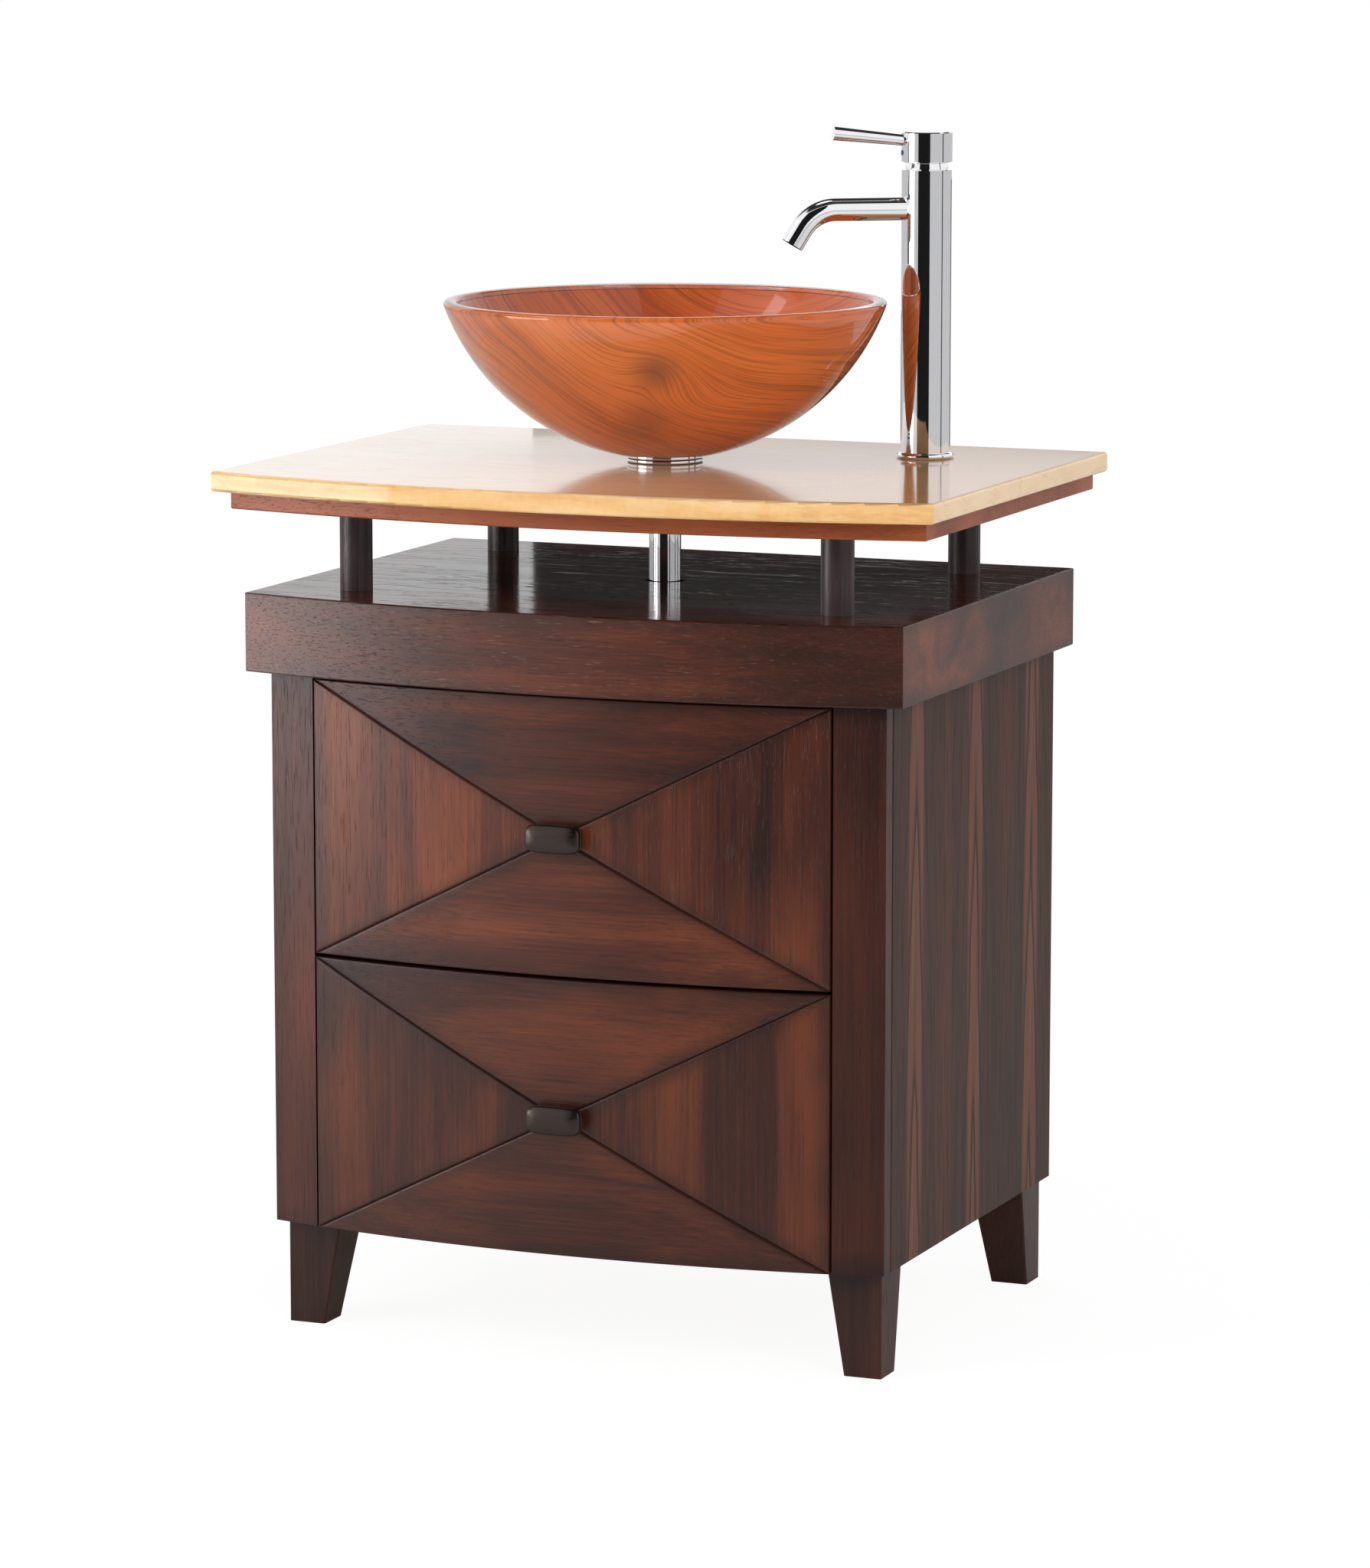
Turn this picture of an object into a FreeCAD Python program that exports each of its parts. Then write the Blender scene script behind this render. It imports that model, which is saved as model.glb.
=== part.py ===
"""Vessel sink on a bow-front vanity: bowl, stone top, posts, cabinet, drawers, drain and mixer tap.

Millimetres, +Z up, +X to the right seen from the front, -Y towards the user.
The origin is on the floor under the middle of the top's outline.
"""

import FreeCAD
import Part

import math
import os
import re

import Sketcher

# ---------------------------------------------------------------- driving dimensions
# (alias, value in mm or degrees, what it is)
DIMENSIONS = [
    ("top_half", 355.5, "half width of the stone top"),
    ("top_corner", -215.0, "front corners of the stone top"),
    ("top_bow", 50.0, "how far the top's front edge bows out"),
    ("top_back", 265.0, "back edge of the stone top"),
    ("top_bottom", 788.0, "underside of the stone top"),
    ("top_thick", 19.0, "thickness of the stone top"),
    ("top_ease", 3.0, "rounding of the stone top's edges"),
    ("board_half", 343.0, "half width of the support board"),
    ("board_corner", -199.0, "front corners of the support board"),
    ("board_bow", 40.0, "bow of the support board"),
    ("board_back", 260.0, "back edge of the support board"),
    ("board_bottom", 771.0, "underside of the support board"),
    ("board_thick", 17.0, "thickness of the support board"),
    ("slab_half", 325.0, "half width of the base slab"),
    ("slab_corner", -208.3, "front corners of the base slab"),
    ("slab_bow", 41.5, "bow of the base slab"),
    ("slab_back", 258.5, "back edge of the base slab"),
    ("slab_bottom", 621.0, "underside of the base slab, top of the cabinet"),
    ("slab_thick", 74.0, "thickness of the base slab"),
    ("wood_ease", 1.5, "rounding of the wooden slabs' edges"),
    ("post_radius", 15.25, "radius of the posts"),
    ("post_x", 239.35, "posts to the centre plane"),
    ("post_front", -148.0, "front posts"),
    ("post_rear", 188.0, "rear posts"),
    ("rod_radius", 4.0, "radius of the tie rods inside the posts"),
    ("rod_bite", 14.0, "how far a tie rod reaches into the board"),
    ("rod_depth", 40.0, "how far a tie rod reaches into the slab"),
    ("case_half", 305.0, "half width of the cabinet"),
    ("case_corner", -195.4, "front corners of the cabinet"),
    ("case_bow", 36.2, "bow of the cabinet's front"),
    ("case_back", 260.6, "back of the cabinet"),
    ("case_bottom", 99.4, "underside of the cabinet, top of the legs"),
    ("panel", 16.0, "thickness of the cabinet panels"),
    ("back_thick", 10.6, "thickness of the back panel"),
    ("stile_inner", 258.0, "inner edge of the stiles"),
    ("stile_back", -178.5, "back face of the stiles"),
    ("joint_chamfer", 1.6, "chamfer along the joint of stile and side"),
    ("rail_front", -188.0, "front of the rails between the stiles"),
    ("rail_depth", 20.0, "depth of the rails"),
    ("rail_high", 16.0, "height of the rails"),
    ("rail_drop", 12.0, "underside of the dividing rail below the upper drawer front"),
    ("service_half", 150.0, "half width of the plumbing cut-out in the back"),
    ("service_bottom", 420.0, "lower edge of the plumbing cut-out"),
    ("service_high", 180.0, "height of the plumbing cut-out"),
    ("leg_outer", 298.0, "outer faces of the legs"),
    ("leg_front", -183.7, "front faces of the front legs"),
    ("leg_back", 253.3, "back faces of the rear legs"),
    ("leg_foot", 36.4, "side of a leg at the floor"),
    ("leg_head", 53.0, "side of a leg at the cabinet"),
    ("leg_ease", 2.0, "rounding of the legs' edges"),
    ("bolt_radius", 4.0, "radius of the leg bolts"),
    ("bolt_depth", 35.0, "how far a leg bolt reaches into the leg"),
    ("front_half", 255.8, "half width of a drawer front"),
    ("front_corner", -208.0, "ends of a drawer front's curved face"),
    ("front_bow", 23.6, "bow of a drawer front"),
    ("front_inner", -190.0, "back face of a drawer front"),
    ("lower_bottom", 99.4, "lower edge of the lower drawer front"),
    ("upper_bottom", 360.1, "lower edge of the upper drawer front"),
    ("front_high", 257.4, "height of a drawer front"),
    ("groove_wide", 2.2, "width of the crossing grooves"),
    ("groove_deep", 1.6, "depth of the crossing grooves"),
    ("box_half", 245.6, "outer half width of a drawer box"),
    ("box_board", 12.0, "thickness of the drawer boards"),
    ("box_rear", 205.0, "back of the drawer boxes"),
    ("box_high", 205.0, "height of the drawer boxes"),
    ("box_lift", 24.0, "drawer box above the lower edge of its front"),
    ("floor_thick", 6.0, "thickness of the drawer bottoms"),
    ("floor_lift", 10.0, "drawer bottom above the lower edge of the sides"),
    ("notch_half", 62.0, "half width of the space for the waste pipe"),
    ("notch_front", -42.0, "front of the space for the waste pipe"),
    ("slide_front", -175.0, "front end of the drawer slides"),
    ("slide_long", 380.0, "length of the drawer slides"),
    ("slide_thick", 3.6, "thickness of one slide member"),
    ("slide_gap", 0.4, "clearance between slide members"),
    ("slide_lift", 90.0, "middle of a slide above the edge of the front"),
    ("fixed_high", 44.0, "height of the slide members on the cabinet"),
    ("middle_high", 34.0, "height of the middle slide members"),
    ("inner_high", 26.0, "height of the slide members on the drawers"),
    ("cleat_high", 60.0, "height of the cleats that pack out the slides"),
    ("knob_wide", 55.0, "width of a knob"),
    ("knob_high", 27.0, "height of a knob"),
    ("knob_thick", 11.0, "thickness of a knob"),
    ("knob_neck", 6.0, "radius of a knob's neck"),
    ("knob_reach", 7.0, "length of a knob's neck"),
    ("knob_corner", 10.5, "corner radius of a knob"),
    ("knob_ease", 2.8, "rounding of a knob's edges"),
    ("screw_radius", 2.0, "radius of the knob screws"),
    ("sink_y", 24.0, "axis of the bowl and drain"),
    ("bowl_sphere", 220.3, "outer radius of the bowl's sphere"),
    ("bowl_centre", 1030.2, "centre of the bowl's sphere"),
    ("bowl_rim", 959.0, "top of the rim"),
    ("bowl_base", 815.0, "underside of the bowl"),
    ("glass_thick", 9.0, "thickness of the clear glass"),
    ("lining_thick", 3.0, "thickness of the wood grained lining"),
    ("lining_hole", 38.0, "radius of the lining's hole around the drain flange"),
    ("lining_drop", 5.2, "top of the lining below the rim"),
    ("bowl_seat", 824.4, "flat at the bottom of the bowl, inside"),
    ("rim_ease", 4.4, "rounding of the rim"),
    ("waste_hole", 22.5, "radius of the hole in the bowl"),
    ("ring_radius", 35.65, "outer radius of the mounting ring"),
    ("ring_high", 7.2, "height of the mounting ring"),
    ("ring_bore", 23.0, "inner radius of the mounting ring"),
    ("ring_groove", 0.7, "depth of the line around the mounting ring"),
    ("drain_radius", 22.0, "outer radius of the threaded drain body"),
    ("drain_bore", 18.0, "bore of the drain body"),
    ("drain_low", 745.0, "lower end of the drain body"),
    ("drain_socket", 7.0, "depth of the tailpiece's socket in the drain body"),
    ("water_way", 4.5, "radius of the water ways past the stopper's guide"),
    ("water_circle", 11.0, "radius of the circle of water ways"),
    ("guide_low", 792.0, "underside of the stopper's guide"),
    ("guide_high", 5.0, "height of the stopper's guide"),
    ("flange_radius", 32.0, "radius of the drain flange"),
    ("flange_high", 3.0, "height of the drain flange"),
    ("flange_gasket", 1.4, "thickness of the gasket under the drain flange"),
    ("stopper_radius", 27.0, "radius of the stopper"),
    ("stopper_high", 5.0, "height of the domed stopper"),
    ("stem_below", 18.0, "how far the stopper's stem reaches below its guide"),
    ("stem_radius", 4.0, "radius of the stopper's stem"),
    ("stem_fit", 0.05, "radial clearance of the stem in its guide"),
    ("tail_radius", 15.0, "outer radius of the tailpiece"),
    ("tail_wall", 1.5, "wall of the tailpiece"),
    ("tail_low", 560.0, "lower end of the tailpiece"),
    ("tail_flare", 3.0, "height of the tailpiece's flared upper end"),
    ("bead_z", 607.5, "height of the bead that stops a trap's slip nut"),
    ("bead", 1.2, "how far the bead stands out"),
    ("washer_wide", 11.0, "width of the clamping washers"),
    ("washer_thick", 3.0, "thickness of the clamping washers"),
    ("nut_wide", 8.0, "how far a nut's corners stand out from its thread"),
    ("nut_high", 12.0, "height of the clamping nuts"),
    ("top_hole", 23.5, "radius of the drain hole in top and board"),
    ("slab_hole", 19.0, "radius of the pipe hole in the base slab"),
    ("tap_x", 214.0, "axis of the tap"),
    ("tap_y", 148.0, "axis of the tap"),
    ("tap_turn", 214.0, "direction in which the spout points"),
    ("tap_hole", 17.5, "radius of the tap hole"),
    ("tap_foot", 26.5, "radius of the tap's foot ring"),
    ("tap_foot_high", 6.0, "height of the tap's foot ring"),
    ("foot_chamfer", 1.5, "chamfer of the tap's foot ring"),
    ("column_floor", 10.0, "thickness of the floor inside the column, which the shank screws into"),
    ("tap_radius", 23.4, "radius of the column"),
    ("tap_bore", 17.0, "bore of the column"),
    ("tap_shoulder", 1077.9, "where the column narrows to the dome"),
    ("pivot_z", 1079.0, "height of the handle's pivot"),
    ("dome_radius", 20.0, "radius of the dome about the pivot"),
    ("dome_wall", 3.0, "wall of the dome"),
    ("dome_clear", 0.35, "clearance of the cap over the dome"),
    ("dome_hole", 11.5, "radius of the hole in the dome"),
    ("cap_radius", 23.8, "radius of the cap"),
    ("cap_low", 1084.7, "lower edge of the cap"),
    ("cap_chamfer", 1085.7, "top of the cap's chamfer"),
    ("cap_top", 1113.5, "top of the cap"),
    ("shank_radius", 14.0, "radius of the threaded shank"),
    ("shank_bore", 10.0, "bore of the shank, for the supply hoses"),
    ("shank_low", 745.0, "lower end of the shank"),
    ("spout_radius", 10.75, "outer radius of the spout"),
    ("spout_wall", 1.6, "wall of the spout"),
    ("spout_z", 1041.7, "height of the spout's axis"),
    ("spout_straight", 88.0, "where the spout begins to bend"),
    ("spout_bend", 38.0, "radius of the spout's bend"),
    ("spout_angle", 58.0, "how far the spout bends down"),
    ("spout_tip", 8.0, "straight length after the bend"),
    ("aerator_long", 9.0, "length of the aerator"),
    ("aerator_wall", 3.0, "wall of the aerator"),
    ("lever_root", 5.25, "radius of the lever at the cap"),
    ("lever_end", 6.5, "radius of the lever at its end"),
    ("lever_seat", 19.0, "root of the lever inside the cap, from the tap's axis"),
    ("lever_bite", 7.0, "straight root of the lever"),
    ("lever_long", 64.5, "length of the lever outside the cap"),
    ("lever_z", 1103.3, "height of the lever's axis at the cap"),
    ("lever_tilt", 6.0, "how far the lever points up"),
    ("core_radius", 13.0, "radius of the turning core"),
    ("cartridge_bore", 3.0, "radius of the water way in the cartridge's disc"),
    ("cartridge_high", 9.0, "depth of the cartridge's disc below the core"),
    ("core_low", 1062.0, "underside of the turning core"),
    ("core_high", 8.0, "top of the turning core above the pivot"),
    ("blade_half", 4.0, "half thickness of the stem's blade"),
    ("blade_reach", 5.0, "radius of the blade's rounded end about the pivot"),
    ("stem_long", 17.0, "length of the stem's round shaft"),
    ("blade_gap", 0.35, "gap each side of the blade"),
    ("pin_radius", 2.0, "radius of the pivot pin"),
    ("pin_fit", 0.05, "radial clearance of the pivot pin"),
]
SIZE = {alias: number for alias, number, _ in DIMENSIONS}

doc = FreeCAD.newDocument("VesselVanity")
sheet = doc.addObject("Spreadsheet::Sheet", "Dimensions")
for row, (alias, number, meaning) in enumerate(DIMENSIONS, start=1):
    sheet.set(f"A{row}", meaning)
    sheet.set(f"B{row}", str(number))
    sheet.setAlias(f"B{row}", alias)
doc.recompute()

subparts = []
X_AXIS = FreeCAD.Vector(1, 0, 0)
Y_AXIS = FreeCAD.Vector(0, 1, 0)
Z_AXIS = FreeCAD.Vector(0, 0, 1)


# ---------------------------------------------------------------- helpers
def formula(text):
    """An expression in which every alias is looked up in the sheet."""
    return re.sub(
        r"[a-z][a-z_]*",
        lambda word: "Dimensions." + word.group(0) if word.group(0) in SIZE else word.group(0),
        str(text),
    )


def bind(thing, **properties):
    """Bind properties to formulas; a double underscore stands for a dot."""
    for name, text in properties.items():
        thing.setExpression(name.replace("__", "."), formula(text))


def place(thing, x=0, y=0, z=0):
    bind(thing, Placement__Base__x=x, Placement__Base__y=y, Placement__Base__z=z)


def keep(thing, label):
    """Count an object as a sub-part under its own label."""
    thing.Label = label
    subparts.append(thing)
    return thing


def box(name, x, y, z, wide, deep, high):
    thing = doc.addObject("Part::Box", name)
    bind(thing, Length=wide, Width=deep, Height=high)
    place(thing, x, y, z)
    return thing


def rod(name, x, y, z, radius, height, axis=Z_AXIS):
    thing = doc.addObject("Part::Cylinder", name)
    bind(thing, Radius=radius, Height=height)
    thing.Placement.Rotation = FreeCAD.Rotation(Z_AXIS, axis)
    place(thing, x, y, z)
    return thing


def ball(name, x, y, z, radius):
    thing = doc.addObject("Part::Sphere", name)
    bind(thing, Radius=radius)
    place(thing, x, y, z)
    return thing


def fuse(name, *things):
    thing = doc.addObject("Part::MultiFuse", name)
    thing.Shapes = list(things)
    return thing


def group(name, *things):
    """Separate solids that share one sub-part."""
    thing = doc.addObject("Part::Compound", name)
    thing.Links = list(things)
    return thing


def cut(name, base, *tools):
    thing = doc.addObject("Part::Cut", name)
    thing.Base = base
    thing.Tool = tools[0] if len(tools) == 1 else fuse(name + "_tools", *tools)
    return thing


def common(name, first, second):
    thing = doc.addObject("Part::MultiCommon", name)
    thing.Shapes = [first, second]
    return thing


def eased(name, base, chosen, alias, kind="Part::Fillet"):
    """Round or chamfer the edges that the test picks."""
    doc.recompute()
    thing = doc.addObject(kind, name)
    thing.Base = base
    size = SIZE[alias]
    thing.Edges = [(i, size, size) for i, edge in enumerate(base.Shape.Edges, start=1) if chosen(edge)]
    return thing


def new_body(name):
    return doc.addObject("PartDesign::Body", name)


def sketch_on(body, name, role, lift=0):
    """A sketch on one of the body's own origin planes, lifted along its normal."""
    sketch = body.newObject("Sketcher::SketchObject", name)
    plane = next(p for p in body.Origin.OriginFeatures if p.Role == role)
    sketch.AttachmentSupport = [(plane, "")]
    sketch.MapMode = "FlatFace"
    sketch.setExpression("AttachmentOffset.Base.z", formula(lift))
    return sketch


def limit(sketch, name, kind, *where):
    """A named dimension, bound to a formula that comes last."""
    *geometry, value, text = where
    sketch.addConstraint(Sketcher.Constraint(kind, *geometry, value))
    sketch.renameConstraint(sketch.ConstraintCount - 1, name)
    sketch.setExpression("Constraints." + name, formula(text))


def outline(sketch, points):
    """A closed polygon; each corner is placed by two formulas."""
    count = len(points)
    ring = [
        FreeCAD.Vector(100 + 50 * math.cos(2 * math.pi * i / count), 50 * math.sin(2 * math.pi * i / count), 0)
        for i in range(count)
    ]
    for i in range(count):
        sketch.addGeometry(Part.LineSegment(ring[i], ring[(i + 1) % count]), False)
    for i in range(count):
        sketch.addConstraint(Sketcher.Constraint("Coincident", i, 2, (i + 1) % count, 1))
    for i, (across, up) in enumerate(points):
        limit(sketch, f"across{i}", "DistanceX", -1, 1, i, 1, ring[i].x, across)
        limit(sketch, f"up{i}", "DistanceY", -1, 1, i, 1, ring[i].y, up)


def circle(sketch, x, y, radius):
    sketch.addGeometry(Part.Circle(FreeCAD.Vector(1, 1, 0), Z_AXIS, 5), False)
    limit(sketch, "across", "DistanceX", -1, 1, 0, 3, 1, x)
    limit(sketch, "up", "DistanceY", -1, 1, 0, 3, 1, y)
    limit(sketch, "radius", "Radius", 0, 5, radius)


def turned(name, points, x=0, y=0):
    """A turned piece: its half section is points of (radius, height)."""
    body = new_body(name)
    sketch = sketch_on(body, name + "_section", "XZ_Plane")
    outline(sketch, points)
    revolution = body.newObject("PartDesign::Revolution", name + "_turn")
    revolution.Profile = sketch
    revolution.ReferenceAxis = (sketch, ["V_Axis"])
    revolution.Angle = 360
    body.Tip = revolution
    place(body, x, y)
    return body


def tube(name, outer, inner, low, high, x=0, y=0):
    return turned(name, [(inner, low), (outer, low), (outer, high), (inner, high)], x, y)


def bowed_sketch(sketch, half, corner, bow, back):
    """Straight back and sides, and a front that is one arc."""
    w, c, s, b = SIZE[half], SIZE[corner], SIZE[bow], SIZE[back]
    radius = (w * w + s * s) / (2 * s)
    middle = FreeCAD.Vector(0, c - s + radius, 0)
    left = math.atan2(c - middle.y, -w)
    right = math.atan2(c - middle.y, w)
    back_left, back_right = FreeCAD.Vector(-w, b, 0), FreeCAD.Vector(w, b, 0)
    front_left, front_right = FreeCAD.Vector(-w, c, 0), FreeCAD.Vector(w, c, 0)
    sketch.addGeometry(Part.LineSegment(back_left, back_right), False)
    sketch.addGeometry(Part.LineSegment(back_right, front_right), False)
    sketch.addGeometry(Part.ArcOfCircle(Part.Circle(middle, Z_AXIS, radius), left, right), False)
    sketch.addGeometry(Part.LineSegment(front_left, back_left), False)
    for joint in ((0, 2, 1, 1), (1, 2, 2, 2), (2, 1, 3, 1), (3, 2, 0, 1)):
        sketch.addConstraint(Sketcher.Constraint("Coincident", *joint))
    sketch.addConstraint(Sketcher.Constraint("Horizontal", 0))
    sketch.addConstraint(Sketcher.Constraint("Vertical", 1))
    sketch.addConstraint(Sketcher.Constraint("Vertical", 3))
    limit(sketch, "half", "DistanceX", -1, 1, 1, 2, w, half)
    limit(sketch, "width", "DistanceX", 0, 1, 0, 2, 2 * w, f"2 * {half}")
    limit(sketch, "rear", "DistanceY", -1, 1, 0, 2, b, back)
    limit(sketch, "front", "DistanceY", -1, 1, 1, 2, c, corner)
    limit(sketch, "level", "DistanceY", 2, 1, 2, 2, 0, "0")
    limit(sketch, "bend", "Radius", 2, radius, f"({half} ^ 2 + {bow} ^ 2) / (2 * {bow})")


def bowed_board(name, half, corner, bow, back, low, thick, ease, holes):
    """A board with a bowed front, eased edges and round holes of (x, y, radius)."""
    body = new_body(name)
    sketch = sketch_on(body, name + "_plan", "XY_Plane", low)
    bowed_sketch(sketch, half, corner, bow, back)
    pad = body.newObject("PartDesign::Pad", name + "_pad")
    pad.Profile = sketch
    bind(pad, Length=thick)
    doc.recompute()
    rim = [
        f"Edge{i}"
        for i, edge in enumerate(pad.Shape.Edges, start=1)
        if edge.BoundBox.ZLength < 0.01
    ]
    round_over = body.newObject("PartDesign::Fillet", name + "_ease")
    round_over.Base = (pad, rim)
    bind(round_over, Radius=ease)
    body.Tip = round_over
    doc.recompute()
    for i, (x, y, radius) in enumerate(holes):
        mouth = sketch_on(body, f"{name}_hole{i}", "XY_Plane", low)
        circle(mouth, x, y, radius)
        pocket = body.newObject("PartDesign::Pocket", f"{name}_bore{i}")
        pocket.Profile = mouth
        pocket.Type = "ThroughAll"
        pocket.Reversed = True
        before = body.Shape.Volume
        body.Tip = pocket
        doc.recompute()
        if not body.Shape.Volume < before:
            raise RuntimeError(f"{name}: hole {i} cuts nothing")
    return body


# ---------------------------------------------------------------- top, board, slab and posts
POSTS = [
    (side + "_" + end, x, y)
    for end, y in (("front", "post_front"), ("rear", "post_rear"))
    for side, x in (("left", "-post_x"), ("right", "post_x"))
]
rod_holes = [(x, y, "rod_radius") for _, x, y in POSTS]

keep(
    bowed_board(
        "TopBody", "top_half", "top_corner", "top_bow", "top_back", "top_bottom", "top_thick", "top_ease",
        [("0", "sink_y", "top_hole"), ("tap_x", "tap_y", "tap_hole")],
    ),
    "stone_top",
)
board = bowed_board(
    "BoardBody", "board_half", "board_corner", "board_bow", "board_back", "board_bottom", "board_thick", "wood_ease",
    [("0", "sink_y", "top_hole"), ("tap_x", "tap_y", "tap_hole")],
)
slab = bowed_board(
    "SlabBody", "slab_half", "slab_corner", "slab_bow", "slab_back", "slab_bottom", "slab_thick", "wood_ease",
    [("0", "sink_y", "slab_hole")],
)

SLAB_TOP = "(slab_bottom + slab_thick)"
rods = []
board_sockets = []
slab_sockets = []
for name, x, y in POSTS:
    rods.append(
        rod(f"Rod_{name}", x, y, f"{SLAB_TOP} - rod_depth", "rod_radius", f"board_bottom + rod_bite - {SLAB_TOP} + rod_depth")
    )
    board_sockets.append(rod(f"BoardSocket_{name}", x, y, "board_bottom - 1", "rod_radius", "rod_bite + 1"))
    slab_sockets.append(rod(f"SlabSocket_{name}", x, y, f"{SLAB_TOP} - rod_depth", "rod_radius", "rod_depth + 1"))
    post = rod(f"PostBar_{name}", x, y, SLAB_TOP, "post_radius", f"board_bottom - {SLAB_TOP}")
    bore = rod(f"PostBore_{name}", x, y, f"{SLAB_TOP} - 1", "rod_radius", f"board_bottom - {SLAB_TOP} + 2")
    keep(cut(f"Post_{name}", post, bore), f"post_{name}")
keep(group("Rods", *rods), "post_tie_rods")
keep(cut("Board", board, *board_sockets), "support_board")
keep(cut("Slab", slab, *slab_sockets), "base_slab")

# ---------------------------------------------------------------- cabinet
CASE_HIGH = "slab_bottom - case_bottom"
CASE_BEND = "((case_half ^ 2 + case_bow ^ 2) / (2 * case_bow))"
case_front = rod("CaseFront", "0", f"case_corner - case_bow + {CASE_BEND}", "0", CASE_BEND, "slab_bottom + panel")


def upright_at(y):
    """Picks the vertical outer edge that lies at this depth."""
    return lambda edge: (
        edge.BoundBox.ZLength > SIZE["panel"]
        and abs(edge.BoundBox.YMin - y) < 0.01
        and abs(edge.BoundBox.YMax - y) < 0.01
        and abs(abs(edge.BoundBox.XMax) - SIZE["case_half"]) < 0.01
        and abs(abs(edge.BoundBox.XMin) - SIZE["case_half"]) < 0.01
    )


for side, panel_x, stile_x in (("left", "-case_half", "-case_half"), ("right", "case_half - panel", "stile_inner")):
    panel = box(
        f"PanelBoard_{side}", panel_x, "stile_back", "case_bottom", "panel", "case_back - stile_back", CASE_HIGH
    )
    keep(
        eased(f"Panel_{side}", panel, upright_at(SIZE["stile_back"]), "joint_chamfer", "Part::Chamfer"),
        f"side_panel_{side}",
    )
    blank = box(
        f"StileBlank_{side}", stile_x, "case_corner - case_bow", "case_bottom",
        "case_half - stile_inner", "stile_back - case_corner + case_bow", CASE_HIGH,
    )
    stile = common(f"StileBowed_{side}", blank, case_front)
    keep(
        eased(f"Stile_{side}", stile, upright_at(SIZE["stile_back"]), "joint_chamfer", "Part::Chamfer"),
        f"stile_{side}",
    )

INSIDE_HALF = "(case_half - panel)"
back = box(
    "BackBoard", f"-{INSIDE_HALF}", "case_back - back_thick", "case_bottom", f"2 * {INSIDE_HALF}", "back_thick", CASE_HIGH
)
service = box(
    "ServiceOpening", "-service_half", "case_back - 2 * back_thick", "service_bottom",
    "2 * service_half", "3 * back_thick", "service_high",
)
keep(cut("Back", back, service), "back_panel")
rails = [
    box(f"Rail_{name}", "-stile_inner", "rail_front", z, "2 * stile_inner", "rail_depth", "rail_high")
    for name, z in (("top", "slab_bottom - rail_high"), ("divider", "upper_bottom - rail_drop"))
]
keep(group("Rails", *rails), "front_rails")

# ---------------------------------------------------------------- legs and their bolts
LEG_CENTRE_X = "(leg_outer - leg_head / 2)"
LEGS = [
    ("front_left", -1, "leg_front", 1),
    ("front_right", 1, "leg_front", 1),
    ("rear_left", -1, "leg_back", -1),
    ("rear_right", 1, "leg_back", -1),
]
bolts = []
bolt_holes = []
for name, side, face, inward in LEGS:
    centre_x = f"{side} * {LEG_CENTRE_X}"
    centre_y = f"{face} + {inward} * leg_head / 2"
    wedge = doc.addObject("Part::Wedge", f"LegWedge_{name}")
    wedge.Placement.Rotation = FreeCAD.Rotation(X_AXIS, 90)
    # The wedge tapers along its own Y, which stands upright; its own Z points to the front.
    for number, width in (("", "leg_foot"), ("2", "leg_head")):
        across = (f"{side} * leg_outer", f"{side} * (leg_outer - {width})")
        along = (f"-({face})", f"-({face} + {inward} * {width})")
        for letter, ends in (("X", across), ("Z", along)):
            wedge.setExpression(f"{letter}{number}min", formula(f"min({ends[0]}; {ends[1]})"))
            wedge.setExpression(f"{letter}{number}max", formula(f"max({ends[0]}; {ends[1]})"))
    bind(wedge, Ymin="0", Ymax="case_bottom")
    body = eased(
        f"LegEased_{name}", wedge, lambda edge: edge.BoundBox.ZLength > SIZE["case_bottom"] / 2, "leg_ease"
    )
    socket = rod(f"LegSocket_{name}", centre_x, centre_y, "case_bottom - bolt_depth", "bolt_radius", "bolt_depth + 1")
    keep(cut(f"Leg_{name}", body, socket), f"leg_{name}")
    shaft = rod(
        f"BoltShaft_{name}", centre_x, centre_y, "case_bottom - bolt_depth", "bolt_radius", "bolt_depth + panel + 0.5"
    )
    head = rod(f"BoltHead_{name}", centre_x, centre_y, "case_bottom + panel", "1.7 * bolt_radius", "0.9 * bolt_radius")
    bolts.append(fuse(f"Bolt_{name}", shaft, head))
    bolt_holes.append(rod(f"BoltHole_{name}", centre_x, centre_y, "case_bottom - 1", "bolt_radius", "panel + 2"))
floor_board = box(
    "FloorBoard", f"-{INSIDE_HALF}", "stile_back", "case_bottom",
    f"2 * {INSIDE_HALF}", "case_back - back_thick - stile_back", "panel",
)
keep(cut("Floor", floor_board, *bolt_holes), "bottom_panel")
keep(group("Bolts", *bolts), "leg_bolts")

# ---------------------------------------------------------------- drawer slides
CLEAT = f"({INSIDE_HALF} - stile_inner)"
SLIDE_HIGH = {"fixed": "fixed_high", "middle": "middle_high", "inner": "inner_high"}
SLIDE_PLACE = {
    "fixed": "stile_inner - slide_thick",
    "middle": "stile_inner - 2 * slide_thick - slide_gap",
    "inner": "stile_inner - 3 * slide_thick - 2 * slide_gap",
}
DRAWERS = [("upper", "upper_bottom"), ("lower", "lower_bottom")]


def slide_pair(level, kind, base):
    """The left and right members of one kind, level with the drawer that they carry."""
    high = SLIDE_HIGH[kind]
    at = SLIDE_PLACE[kind]
    low = f"{base} + slide_lift - {high} / 2"
    right = box(f"Slide_{level}_{kind}_right", at, "slide_front", low, "slide_thick", "slide_long", high)
    left = box(f"Slide_{level}_{kind}_left", f"-({at}) - slide_thick", "slide_front", low, "slide_thick", "slide_long", high)
    return [left, right]


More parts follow.
